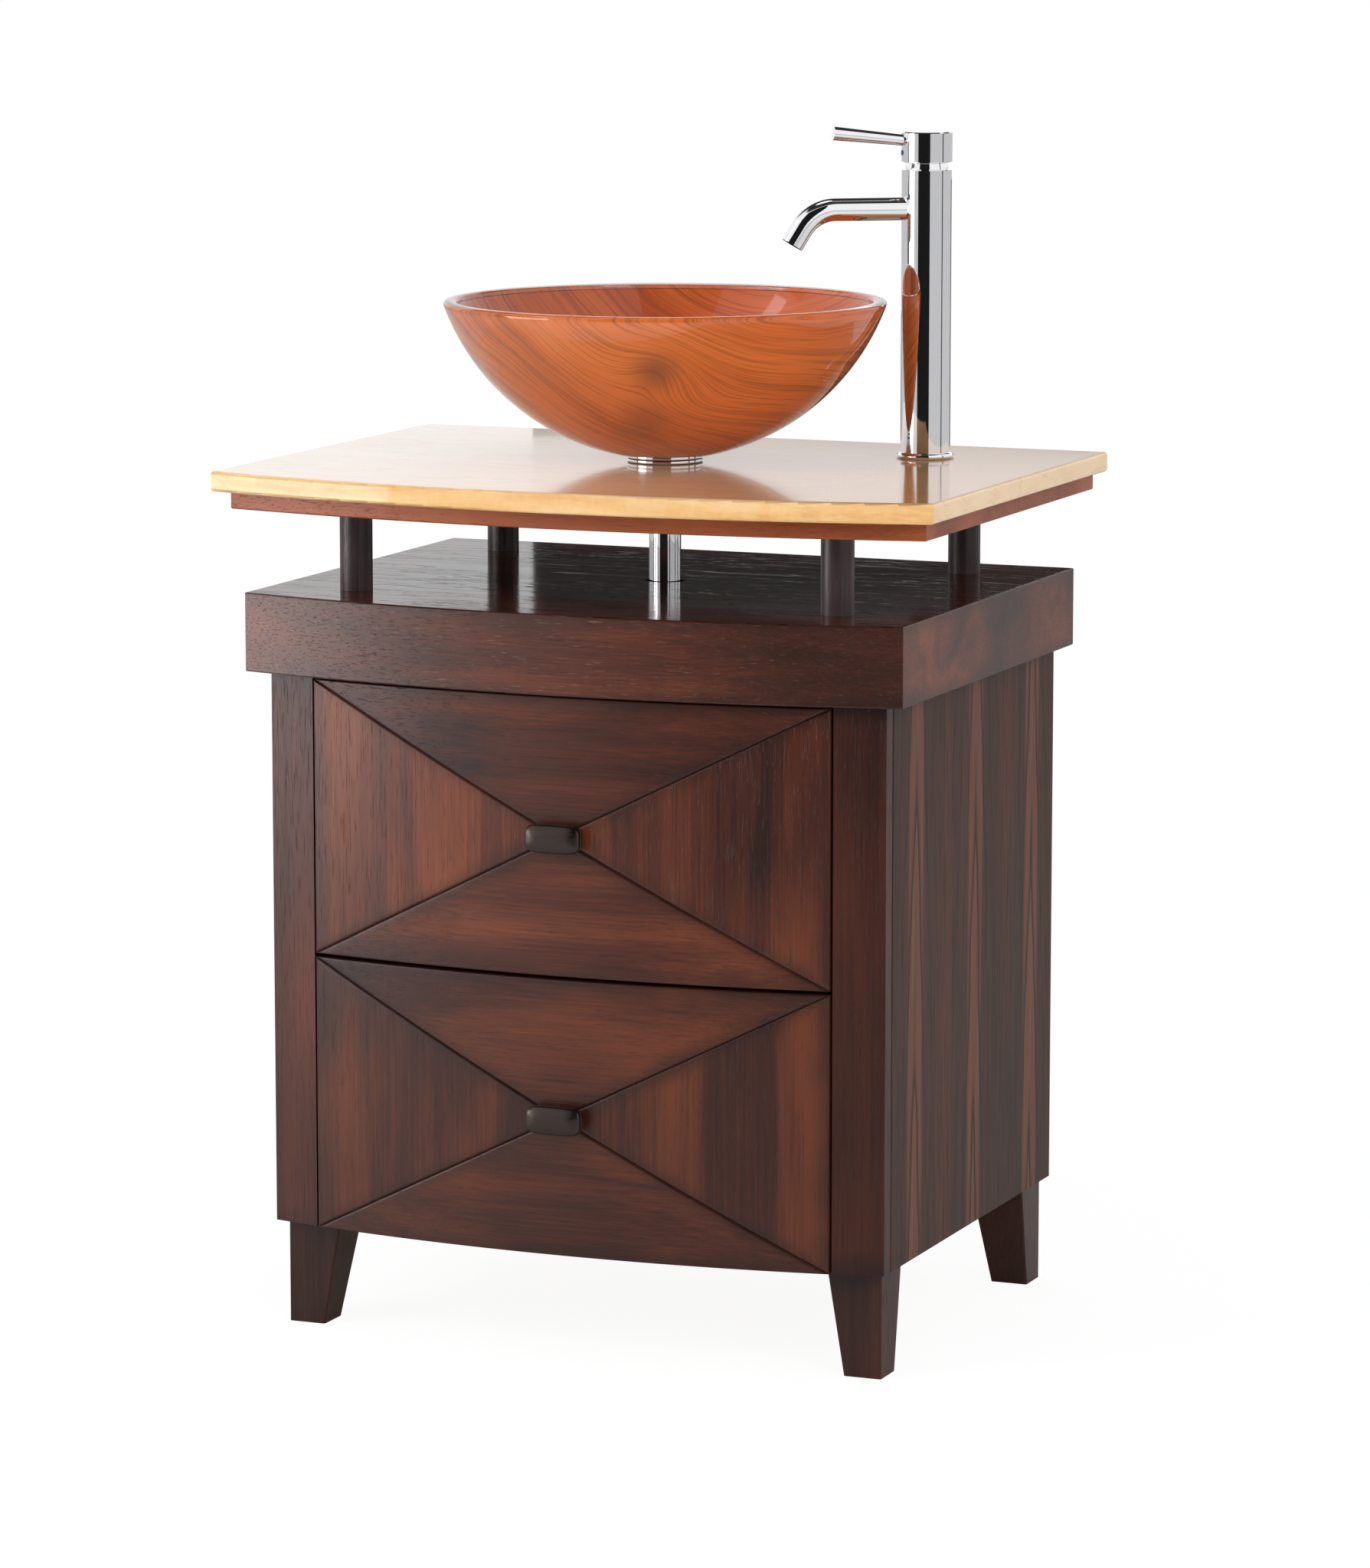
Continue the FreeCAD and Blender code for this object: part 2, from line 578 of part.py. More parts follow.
cleats = []
fixed_members = []
for level, base in DRAWERS:
    low = f"{base} + slide_lift - cleat_high / 2"
    deep = "case_back - back_thick - stile_back"
    cleats.append(box(f"Cleat_{level}_left", f"-{INSIDE_HALF}", "stile_back", low, CLEAT, deep, "cleat_high"))
    cleats.append(box(f"Cleat_{level}_right", "stile_inner", "stile_back", low, CLEAT, deep, "cleat_high"))
    fixed_members += slide_pair(level, "fixed", base)
    keep(group(f"SlideMiddle_{level}", *slide_pair(level, "middle", base)), f"{level}_slide_middle_members")
    keep(group(f"SlideInner_{level}", *slide_pair(level, "inner", base)), f"{level}_slide_drawer_members")
keep(group("Cleats", *cleats), "slide_cleats")
keep(group("SlideFixed", *fixed_members), "slide_cabinet_members")

# ---------------------------------------------------------------- drawers
FRONT_BEND = "((front_half ^ 2 + front_bow ^ 2) / (2 * front_bow))"
FRONT_AXIS = f"front_corner - front_bow + {FRONT_BEND}"
FRONT_FACE = "(front_corner - front_bow)"


def drawer_front(level, base):
    """A curved front whose face has two grooves from corner to corner."""
    blank = box(
        f"Front_{level}_blank", "-front_half", FRONT_FACE, base,
        "2 * front_half", f"front_inner - {FRONT_FACE}", "front_high",
    )
    curve = rod(f"Front_{level}_curve", "0", FRONT_AXIS, f"{base} - 1", FRONT_BEND, "front_high + 2")
    core = rod(f"Front_{level}_core", "0", FRONT_AXIS, f"{base} - 2", f"{FRONT_BEND} - groove_deep", "front_high + 4")
    skin = cut(f"Front_{level}_skin", curve, core)
    strips = []
    for sign in (-1, 1):
        strip = doc.addObject("Part::Box", f"Front_{level}_strip{sign + 1}")
        bind(strip, Length="3 * front_half", Width="3 * front_bow", Height="groove_wide")
        slope = f"{sign} * atan2(front_high; 2 * front_half)"
        strip.Placement.Rotation = FreeCAD.Rotation(Y_AXIS, 1)
        strip.setExpression("Placement.Rotation.Angle", formula(slope))
        middle = f"({base} + front_high / 2)"
        place(
            strip,
            f"-1.5 * front_half * cos({slope}) - groove_wide / 2 * sin({slope})",
            f"{FRONT_FACE} - front_bow",
            f"{middle} + 1.5 * front_half * sin({slope}) - groove_wide / 2 * cos({slope})",
        )
        strips.append(strip)
    grooves = common(f"Front_{level}_grooves", skin, fuse(f"Front_{level}_cross", *strips))
    screw_hole = rod(
        f"Front_{level}_hole", "0", f"{FRONT_FACE} - 1", f"{base} + front_high / 2",
        "screw_radius", f"front_inner - {FRONT_FACE} + 2", Y_AXIS,
    )
    return cut(f"Front_{level}", common(f"Front_{level}_bowed", blank, curve), grooves, screw_hole)


def knob(level, base):
    """A pillow shaped knob on a short neck, with the hole for its screw."""
    middle = f"{base} + front_high / 2"
    pillow = box(
        f"Knob_{level}_block", "-knob_wide / 2", f"{FRONT_FACE} - knob_reach - knob_thick", f"{middle} - knob_high / 2",
        "knob_wide", "knob_thick", "knob_high",
    )
    rounded = eased(
        f"Knob_{level}_corners", pillow, lambda edge: abs(edge.BoundBox.YLength - SIZE["knob_thick"]) < 0.01, "knob_corner"
    )
    soft = eased(f"Knob_{level}_soft", rounded, lambda edge: edge.BoundBox.YLength < 0.01, "knob_ease")
    neck = rod(
        f"Knob_{level}_neck", "0", f"{FRONT_FACE} - knob_reach - 1", middle, "knob_neck", "knob_reach + 1", Y_AXIS
    )
    hole = rod(f"Knob_{level}_hole", "0", f"{FRONT_FACE} - knob_reach", middle, "screw_radius", "knob_reach + 1", Y_AXIS)
    return cut(f"Knob_{level}", fuse(f"Knob_{level}_whole", soft, neck), hole)


def knob_screw(level, base):
    middle = f"{base} + front_high / 2"
    shaft = rod(
        f"Screw_{level}_shaft", "0", f"{FRONT_FACE} - knob_reach", middle,
        "screw_radius", f"knob_reach + front_inner - {FRONT_FACE}", Y_AXIS,
    )
    head = rod(f"Screw_{level}_head", "0", "front_inner", middle, "2 * screw_radius", "1.2 * screw_radius", Y_AXIS)
    return fuse(f"Screw_{level}", shaft, head)


BOX_DEEP = "(box_rear - front_inner)"
for level, base in DRAWERS:
    low = f"({base} + box_lift)"
    floor_z = f"{low} + floor_lift"
    inner = "(box_half - box_board)"
    keep(drawer_front(level, base), f"{level}_drawer_front")
    keep(knob(level, base), f"{level}_drawer_knob")
    keep(knob_screw(level, base), f"{level}_knob_screw")
    sides = [
        box(f"Side_{level}_{side}", x, "front_inner", low, "box_board", BOX_DEEP, "box_high")
        for side, x in (("left", "-box_half"), ("right", inner))
    ]
    keep(group(f"Sides_{level}", *sides), f"{level}_drawer_sides")
    rear_y = "box_rear - box_board"
    floor = box(
        f"DrawerFloor_{level}", f"-{inner}", "front_inner", floor_z, f"2 * {inner}", f"{rear_y} - front_inner", "floor_thick"
    )
    rear = box(f"Rear_{level}_board", f"-{inner}", rear_y, low, f"2 * {inner}", "box_board", "box_high")
    if level == "upper":
        outer_notch = box(
            "NotchOuter", "-notch_half - box_board", "notch_front - box_board", floor_z,
            "2 * (notch_half + box_board)", f"{rear_y} - notch_front + box_board", "box_high - floor_lift",
        )
        inner_notch = box(
            "NotchInner", "-notch_half", "notch_front", f"{low} - 1",
            "2 * notch_half", "box_rear - notch_front + 1", "box_high + 2",
        )
        notch_space = box(
            "NotchSpace", "-notch_half - box_board", "notch_front - box_board", f"{low} - 1",
            "2 * (notch_half + box_board)", "box_rear - notch_front + box_board + 1", "box_high + 2",
        )
        keep(cut("Notch", outer_notch, inner_notch), "upper_drawer_pipe_notch")
        keep(cut("UpperFloor", floor, notch_space), "upper_drawer_bottom")
        rear_gap = box("RearGap", "-notch_half", "box_rear - 2 * box_board", f"{low} - 1", "2 * notch_half", "3 * box_board", "box_high + 2")
        keep(cut("UpperRear", rear, rear_gap), "upper_drawer_back")
    else:
        keep(floor, "lower_drawer_bottom")
        keep(rear, "lower_drawer_back")


# ---------------------------------------------------------------- bowl
LINING = "(bowl_sphere - glass_thick)"
INSIDE = "(bowl_sphere - glass_thick - lining_thick)"
shell = cut(
    "BowlShell", ball("BowlOuter", "0", "sink_y", "bowl_centre", "bowl_sphere"),
    ball("BowlInner", "0", "sink_y", "bowl_centre", INSIDE),
)
bowl_band = rod("BowlBand", "0", "sink_y", "bowl_base", "bowl_sphere", "bowl_rim - bowl_base")
bowl_floor = rod("BowlFloor", "0", "sink_y", "bowl_base", "flange_radius", "bowl_seat - bowl_base")
bowl_solid = fuse("BowlSolid", common("BowlCup", shell, bowl_band), bowl_floor)
bowl_holed = cut("BowlHoled", bowl_solid, rod("BowlHole", "0", "sink_y", "bowl_base - 1", "waste_hole", "bowl_seat - bowl_base + 2"))
rim_rounded = eased(
    "BowlRim", bowl_holed, lambda edge: edge.BoundBox.ZMin > SIZE["bowl_rim"] - 0.01, "rim_ease"
)
lining_zone = cut(
    "LiningZone", ball("LiningOuter", "0", "sink_y", "bowl_centre", LINING),
    ball("LiningInner", "0", "sink_y", "bowl_centre", INSIDE),
)
lining_band = cut(
    "LiningBand",
    rod("LiningKeep", "0", "sink_y", "bowl_seat", LINING, "bowl_rim - lining_drop - bowl_seat"),
    rod("LiningFoot", "0", "sink_y", "bowl_seat - 1", "lining_hole", "2 * glass_thick"),
)
lining = common("Lining", lining_zone, lining_band)
keep(cut("BowlGlass", rim_rounded, lining), "bowl_glass")
keep(lining, "bowl_wood_lining")

# ---------------------------------------------------------------- drain
STONE_TOP = "(top_bottom + top_thick)"
ring_top = f"({STONE_TOP} + ring_high)"
ring_mid = f"({STONE_TOP} + ring_high / 2)"
keep(
    turned(
        "Ring",
        [
            ("ring_bore", STONE_TOP), ("ring_radius", STONE_TOP), ("ring_radius", f"{ring_mid} - ring_groove"),
            ("ring_radius - ring_groove", ring_mid), ("ring_radius", f"{ring_mid} + ring_groove"),
            ("ring_radius", ring_top), ("ring_bore", ring_top),
        ],
        y="sink_y",
    ),
    "mounting_ring",
)
keep(tube("RingGasket", "ring_radius - 1.2", "ring_bore", ring_top, "bowl_base", y="sink_y"), "ring_gasket")

FLANGE_LOW = "(bowl_seat + flange_gasket)"
FLANGE_TOP = "(bowl_seat + flange_gasket + flange_high)"
GUIDE_TOP = "(guide_low + guide_high)"
SOCKET_TOP = "(drain_low + drain_socket)"
drain = turned(
    "DrainBody",
    [
        ("tail_radius", "drain_low"), ("drain_radius", "drain_low"), ("drain_radius", FLANGE_LOW),
        ("flange_radius", FLANGE_LOW), ("flange_radius", f"{FLANGE_LOW} + 1.2"),
        ("flange_radius - 4", FLANGE_TOP), ("drain_bore + 4", FLANGE_TOP), ("drain_bore", f"{FLANGE_TOP} - 4"),
        ("drain_bore", GUIDE_TOP), ("stem_radius + stem_fit", GUIDE_TOP), ("stem_radius + stem_fit", "guide_low"),
        ("drain_bore", "guide_low"), ("drain_bore", SOCKET_TOP), ("tail_radius", SOCKET_TOP),
    ],
    y="sink_y",
)
water_ways = [
    rod(
        f"WaterWay{i}", f"water_circle * cos({60 * i})", f"sink_y + water_circle * sin({60 * i})",
        "guide_low - 1", "water_way", "guide_high + 2",
    )
    for i in range(6)
]
keep(cut("Drain", drain, *water_ways), "drain_body")
keep(tube("DrainGasket", "flange_radius - 1", "drain_radius", "bowl_seat", FLANGE_LOW, y="sink_y"), "drain_gasket")
keep(
    turned(
        "Stopper",
        [
            ("0", "guide_low - stem_below"), ("stem_radius", "guide_low - stem_below"), ("stem_radius", FLANGE_TOP),
            ("stopper_radius - 1", FLANGE_TOP), ("stopper_radius", f"{FLANGE_TOP} + 1"),
            ("stopper_radius - 1.5", f"{FLANGE_TOP} + 0.64 * stopper_high"),
            ("stopper_radius * 0.6", f"{FLANGE_TOP} + 0.92 * stopper_high"), ("0", f"{FLANGE_TOP} + stopper_high"),
        ],
        y="sink_y",
    ),
    "drain_stopper",
)
drain_washer = tube(
    "DrainWasher", "drain_radius + washer_wide", "drain_radius", "board_bottom - washer_thick", "board_bottom", y="sink_y"
)


def hex_nut(name, across, bore, low, high, x, y):
    """A six-sided nut around a threaded tube."""
    prism = doc.addObject("Part::Prism", name + "_prism")
    prism.Polygon = 6
    bind(prism, Circumradius=across, Height=high)
    place(prism, x, y, low)
    return cut(name, prism, rod(name + "_bore", x, y, f"{low} - 1", bore, f"{high} + 2"))


keep(
    hex_nut(
        "DrainNut", "drain_radius + nut_wide", "drain_radius",
        "board_bottom - washer_thick - nut_high", "nut_high", "0", "sink_y",
    ),
    "drain_nut",
)
tail_inner = "tail_radius - tail_wall"
keep(
    turned(
        "Tailpiece",
        [
            (tail_inner, "tail_low"), ("tail_radius", "tail_low"), ("tail_radius", "bead_z - 1.25 * bead"),
            ("tail_radius + bead", "bead_z"), ("tail_radius", "bead_z + 1.25 * bead"),
            ("tail_radius", SOCKET_TOP), ("drain_bore", SOCKET_TOP), ("drain_bore", f"{SOCKET_TOP} + tail_flare"),
            (tail_inner, f"{SOCKET_TOP} + tail_flare"),
        ],
        y="sink_y",
    ),
    "tailpiece",
)

# ---------------------------------------------------------------- tap: fixed parts
FOOT_TOP = f"({STONE_TOP} + tap_foot_high)"
COLUMN_FLOOR = f"({FOOT_TOP} + column_floor)"
keep(
    turned(
        "FootRing",
        [
            ("shank_radius", STONE_TOP), ("tap_foot", STONE_TOP), ("tap_foot", f"{FOOT_TOP} - foot_chamfer"),
            ("tap_foot - foot_chamfer", FOOT_TOP), ("shank_radius", FOOT_TOP),
        ],
        "tap_x", "tap_y",
    ),
    "tap_foot_ring",
)
column = turned(
    "Column",
    [
        ("shank_radius", FOOT_TOP), ("tap_radius", FOOT_TOP), ("tap_radius", "tap_shoulder"),
        ("dome_radius", "pivot_z"), ("tap_bore", "pivot_z"), ("tap_bore", COLUMN_FLOOR),
        ("shank_radius", COLUMN_FLOOR),
    ],
    "tap_x", "tap_y",
)
dome = cut(
    "Dome",
    common(
        "DomeCap", ball("DomeBall", "tap_x", "tap_y", "pivot_z", "dome_radius"),
        rod("DomeZone", "tap_x", "tap_y", "pivot_z", "dome_radius", "dome_radius"),
    ),
    ball("DomeHollow", "tap_x", "tap_y", "pivot_z", "dome_radius - dome_wall"),
    rod("DomeHole", "tap_x", "tap_y", "pivot_z", "dome_hole", "2 * dome_radius"),
)
spout_port = doc.addObject("Part::Cylinder", "SpoutPort")
bind(spout_port, Radius="spout_radius", Height="tap_radius + 2")
spout_port.Placement.Rotation = FreeCAD.Rotation(Z_AXIS, SIZE["tap_turn"]) * FreeCAD.Rotation(Y_AXIS, 90)
place(spout_port, "tap_x", "tap_y", "spout_z")
keep(cut("ColumnBored", fuse("ColumnWhole", column, dome), spout_port), "tap_column")

# The spout is swept in its own frame, along +X from the column's axis, and then turned into place.
spout_body = new_body("SpoutBody")


def spout_path(name, start, tip):
    """Straight out, a bend downwards, and a short straight tip, in the XZ plane."""
    bend, straight = SIZE["spout_bend"], SIZE["spout_straight"]
    turn = math.radians(SIZE["spout_angle"])
    path = sketch_on(spout_body, name, "XZ_Plane")
    end = FreeCAD.Vector(straight + bend * math.sin(turn), -bend * (1 - math.cos(turn)), 0)
    heading = FreeCAD.Vector(math.cos(turn), -math.sin(turn), 0)
    path.addGeometry(Part.LineSegment(FreeCAD.Vector(SIZE[start], 0, 0), FreeCAD.Vector(straight, 0, 0)), False)
    bend_circle = Part.Circle(FreeCAD.Vector(straight, -bend, 0), Z_AXIS, bend)
    path.addGeometry(Part.ArcOfCircle(bend_circle, math.pi / 2 - turn, math.pi / 2), False)
    path.addGeometry(Part.LineSegment(end, end + heading * SIZE[tip]), False)
    path.addConstraint(Sketcher.Constraint("Tangent", 0, 2, 1, 2))
    path.addConstraint(Sketcher.Constraint("Tangent", 1, 1, 2, 1))
    path.addConstraint(Sketcher.Constraint("Horizontal", 0))
    limit(path, "begin", "DistanceX", -1, 1, 0, 1, SIZE[start], start)
    limit(path, "level", "DistanceY", -1, 1, 0, 1, 0, "0")
    limit(path, "straight", "DistanceX", -1, 1, 0, 2, straight, "spout_straight")
    limit(path, "bend", "Radius", 1, bend, "spout_bend")
    limit(path, "tip", "Distance", 2, SIZE[tip], tip)
    limit(path, "turn", "Angle", 2, -turn, "-spout_angle * 1deg")
    return path


def spout_ring(name, radius):
    section = sketch_on(spout_body, name, "YZ_Plane", "tap_bore")
    circle(section, "0", "0", radius)
    return section


path = spout_path("SpoutPath", "tap_bore", "spout_tip")
outer_pipe = spout_body.newObject("PartDesign::AdditivePipe", "SpoutOuter")
outer_pipe.Profile = spout_ring("SpoutOuterRing", "spout_radius")
outer_pipe.Spine = (path, ["Edge1", "Edge2", "Edge3"])
spout_body.Tip = outer_pipe
doc.recompute()
inner_pipe = spout_body.newObject("PartDesign::SubtractivePipe", "SpoutInner")
inner_pipe.Profile = spout_ring("SpoutInnerRing", "spout_radius - spout_wall")
inner_pipe.Spine = (path, ["Edge1", "Edge2", "Edge3"])
spout_body.Tip = inner_pipe
doc.recompute()
spout_body.Placement.Rotation = FreeCAD.Rotation(Z_AXIS, SIZE["tap_turn"])
place(spout_body, "tap_x", "tap_y", "spout_z")
# The wall's inner end follows the column's bore.
keep(
    cut("Spout", spout_body, rod("SpoutRoot", "tap_x", "tap_y", "spout_z - 2 * spout_radius", "tap_bore", "4 * spout_radius")),
    "tap_spout",
)

turn = math.radians(SIZE["spout_angle"])
aerator = tube("Aerator", "spout_radius", "spout_radius - aerator_wall", "0", "aerator_long")
reach = SIZE["spout_straight"] + SIZE["spout_bend"] * math.sin(turn) + SIZE["spout_tip"] * math.cos(turn)
drop = SIZE["spout_bend"] * (1 - math.cos(turn)) + SIZE["spout_tip"] * math.sin(turn)
to_world = FreeCAD.Placement(
    FreeCAD.Vector(SIZE["tap_x"], SIZE["tap_y"], SIZE["spout_z"]), FreeCAD.Rotation(Z_AXIS, SIZE["tap_turn"])
)
tip_place = FreeCAD.Placement(
    FreeCAD.Vector(reach, 0, -drop), FreeCAD.Rotation(Y_AXIS, 90 + SIZE["spout_angle"])
)
keep(aerator, "spout_aerator")
for axis in ("x", "y", "z"):
    aerator.setExpression(f"Placement.Base.{axis}", None)
aerator.Placement = to_world * tip_place

keep(
    tube("Shank", "shank_radius", "shank_bore", "shank_low", COLUMN_FLOOR, "tap_x", "tap_y"),
    "tap_shank",
)
tap_washer = tube(
    "TapWasher", "shank_radius + washer_wide", "shank_radius", "board_bottom - washer_thick", "board_bottom",
    "tap_x", "tap_y",
)
keep(group("Washers", drain_washer, tap_washer), "clamp_washers")
keep(
    hex_nut(
        "TapNut", "shank_radius + nut_wide", "shank_radius",
        "board_bottom - washer_thick - nut_high", "nut_high", "tap_x", "tap_y",
    ),
    "tap_nut",
)
keep(
    tube(
        "Cartridge", "tap_bore", "cartridge_bore", "core_low - cartridge_high", "core_low - dome_clear",
        "tap_x", "tap_y",
    ),
    "tap_cartridge",
)


# ---------------------------------------------------------------- tap: turning core, cap and lever
def facing(name, builder):
    """Build a piece along the spout's direction and turn it about the tap's axis."""
    thing = builder()
    thing.Placement = FreeCAD.Placement(
        FreeCAD.Vector(SIZE["tap_x"], SIZE["tap_y"], 0), FreeCAD.Rotation(Z_AXIS, SIZE["tap_turn"])
    )
    return keep(thing, name)


def core_shape():
    """A cylinder with a slot for the stem's blade, and the pin across the slot."""
    block = rod("CoreBlock", "0", "0", "core_low", "core_radius", "pivot_z + core_high - core_low")
    slot = box(
        "CoreSlot", "-2 * core_radius", "-blade_half - blade_gap", "pivot_z - blade_reach - 2",
        "4 * core_radius", "2 * (blade_half + blade_gap)", "core_high + 4 * blade_reach",
    )
    pin = rod("CorePin", "0", "-core_radius + 1", "pivot_z", "pin_radius", "2 * core_radius - 2", Y_AXIS)
    return fuse("Core", cut("CoreSlotted", block, slot), pin)


def stem_shape():
    """A round stem that ends in a blade with the pivot's bore."""
    blade = box(
        "StemBlade", "-blade_reach", "-blade_half", "pivot_z", "2 * blade_reach", "2 * blade_half", "core_high + blade_half"
    )
    root = rod("StemRoot", "0", "-blade_half", "pivot_z", "blade_reach", "2 * blade_half", Y_AXIS)
    shaft = rod("StemShaft", "0", "0", "pivot_z + core_high + blade_half / 2", "blade_half", "stem_long")
    whole = fuse("StemWhole", blade, root, shaft)
    eye = rod("StemEye", "0", "-2 * blade_half", "pivot_z", "pin_radius + pin_fit", "4 * blade_half", Y_AXIS)
    return cut("Stem", whole, eye)


def cap_shape():
    """A round cap over the dome, with the sockets for stem and lever."""
    cavity = ball("CapCavity", "0", "0", "pivot_z", "dome_radius + dome_clear")
    rim = "sqrt((dome_radius + dome_clear) ^ 2 - (cap_low - pivot_z) ^ 2)"
    solid = turned(
        "CapTurned",
        [
            ("0", "cap_low"), (rim + " + 0.4", "cap_low"), ("cap_radius", "cap_chamfer"),
            ("cap_radius", "cap_top - 1"), ("cap_radius - 1", "cap_top"), ("0", "cap_top"),
        ],
    )
    socket = rod("CapSocket", "0", "0", "pivot_z + core_high", "blade_half", "stem_long + blade_half / 2")
    return cut("Cap", solid, cavity, socket, lever_bore())


def lever_frame(thing, start):
    """Lay a piece along the lever's axis, a given distance from the tap's axis."""
    tilt = SIZE["lever_tilt"]
    direction = FreeCAD.Vector(math.cos(math.radians(tilt)), 0, math.sin(math.radians(tilt)))
    thing.Placement = FreeCAD.Placement(
        FreeCAD.Vector(0, 0, SIZE["lever_z"]) + direction * start, FreeCAD.Rotation(Y_AXIS, 90 - tilt)
    )
    return thing


def lever_bore():
    thing = doc.addObject("Part::Cylinder", "LeverBore")
    bind(thing, Radius="lever_root", Height="cap_radius")
    return lever_frame(thing, SIZE["lever_seat"])


def lever_shape():
    """A rod that thickens towards its end, with a straight root inside the cap."""
    root = doc.addObject("Part::Cylinder", "LeverRoot")
    bind(root, Radius="lever_root", Height="lever_bite")
    bar = doc.addObject("Part::Cone", "LeverBar")
    bind(bar, Radius1="lever_root", Radius2="lever_end", Height="lever_long")
    lever_frame(root, SIZE["lever_seat"])
    lever_frame(bar, SIZE["lever_seat"] + SIZE["lever_bite"])
    return fuse("LeverWhole", root, bar)


facing("handle_core", core_shape)
facing("handle_stem", stem_shape)
facing("handle_cap", cap_shape)
facing("handle_lever", lever_shape)

# ---------------------------------------------------------------- check and write
doc.recompute()
for thing in doc.Objects:
    if "Invalid" in thing.State or "Error" in thing.State:
        raise RuntimeError(f"{thing.Name} ({thing.Label}) failed: {thing.State}")
for thing in subparts:
    if thing.Shape.isNull() or not thing.Shape.isValid() or not thing.Shape.Solids:
        raise RuntimeError(f"{thing.Label} has no valid solid")

os.makedirs("parts", exist_ok=True)
for thing in subparts:
    thing.Shape.exportStep(f"parts/{thing.Label}.step")
print(f"{len(subparts)} sub-parts written")
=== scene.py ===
"""Looks of the vessel sink on its bow-front vanity: materials, detailed pieces, floor, light and camera."""

import math

import bmesh
import bpy
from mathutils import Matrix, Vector


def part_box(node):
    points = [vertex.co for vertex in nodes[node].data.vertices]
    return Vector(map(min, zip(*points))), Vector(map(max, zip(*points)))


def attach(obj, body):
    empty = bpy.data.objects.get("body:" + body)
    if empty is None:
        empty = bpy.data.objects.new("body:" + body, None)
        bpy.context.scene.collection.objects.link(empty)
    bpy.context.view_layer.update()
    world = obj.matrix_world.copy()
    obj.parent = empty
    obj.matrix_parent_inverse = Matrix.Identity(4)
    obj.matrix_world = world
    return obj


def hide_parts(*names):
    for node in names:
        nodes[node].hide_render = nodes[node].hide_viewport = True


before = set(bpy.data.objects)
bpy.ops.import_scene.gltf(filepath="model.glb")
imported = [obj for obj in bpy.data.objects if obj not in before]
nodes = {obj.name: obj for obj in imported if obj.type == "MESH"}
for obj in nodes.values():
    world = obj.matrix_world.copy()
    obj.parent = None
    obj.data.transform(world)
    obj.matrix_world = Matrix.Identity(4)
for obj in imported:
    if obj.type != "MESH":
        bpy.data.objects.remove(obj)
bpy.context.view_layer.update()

MM = 0.001


# ---------------------------------------------------------------- shader helpers
class Nodes:
    """A node tree, with short calls for the nodes that this scene uses."""

    def __init__(self, tree):
        self.tree = tree
        tree.nodes.clear()

    def put(self, socket, value):
        """Give a socket a number, a vector or a colour, or link another node's output to it."""
        if isinstance(value, bpy.types.NodeSocket):
            self.tree.links.new(value, socket)
        elif socket.type == "RGBA":
            socket.default_value = (*value, 1)
        else:
            socket.default_value = value

    def node(self, kind, values=(), **settings):
        """A new node; values is a list in the order of its inputs, or a dict by their names or places."""
        node = self.tree.nodes.new(kind)
        for name, value in settings.items():
            setattr(node, name, value)
        for key, value in values.items() if isinstance(values, dict) else enumerate(values):
            self.put(node.inputs[key], value)
        return node

    def math(self, operation, *values):
        return self.node("ShaderNodeMath", values, operation=operation).outputs[0]

    def plus(self, first, second):
        return self.math("ADD", first, second)

    def minus(self, first, second):
        return self.math("SUBTRACT", first, second)

    def times(self, first, second):
        return self.math("MULTIPLY", first, second)

    def vector_math(self, operation, first, second, output="Vector"):
        return self.node("ShaderNodeVectorMath", [first, second], operation=operation).outputs[output]

    def axes(self, vector):
        parts = self.node("ShaderNodeSeparateXYZ", [vector]).outputs
        return parts[0], parts[1], parts[2]

    def facing(self, axis):
        """How far a face points along an axis, from -1 to 1."""
        normal = self.node("ShaderNodeNewGeometry").outputs["Normal"]
        return self.axes(normal)["XYZ".index(axis)]

    def vector(self, x, y, z):
        return self.node("ShaderNodeCombineXYZ", [x, y, z]).outputs[0]

    def scaled(self, vector, scale, shift=(0, 0, 0)):
        values = {"Vector": vector, "Scale": scale, "Location": shift}
        return self.node("ShaderNodeMapping", values).outputs[0]

    def noise(self, vector, scale=1.0, detail=3.0, rough=0.5, warp=0.0):
        values = {"Vector": vector, "Scale": scale, "Detail": detail, "Roughness": rough, "Distortion": warp}
        return self.node("ShaderNodeTexNoise", values).outputs["Fac"]

    def ramp(self, value, *stops):
        """Stops are (position, colour)."""
        node = self.node("ShaderNodeValToRGB", [value])
        elements = node.color_ramp.elements
        while len(elements) < len(stops):
            elements.new(0.5)
        for element, (position, colour) in zip(elements, stops):
            element.position = position
            element.color = (*colour, 1)
        return node.outputs[0]

    def span(self, value, low, high, to_low=0.0, to_high=1.0):
        """Map a range smoothly, clamped at both ends."""
        values = (value, low, high, to_low, to_high)
        return self.node("ShaderNodeMapRange", values, interpolation_type="SMOOTHSTEP").outputs[0]

    def mix(self, factor, first, second, blend="MIX"):
        """Mixed colours."""
        values = {0: factor, 6: first, 7: second}
        return self.node("ShaderNodeMix", values, data_type="RGBA", blend_type=blend).outputs[2]

    def blend(self, factor, first, second):
        """Mixed numbers."""
        return self.node("ShaderNodeMix", {0: factor, 2: first, 3: second}, data_type="FLOAT").outputs[0]


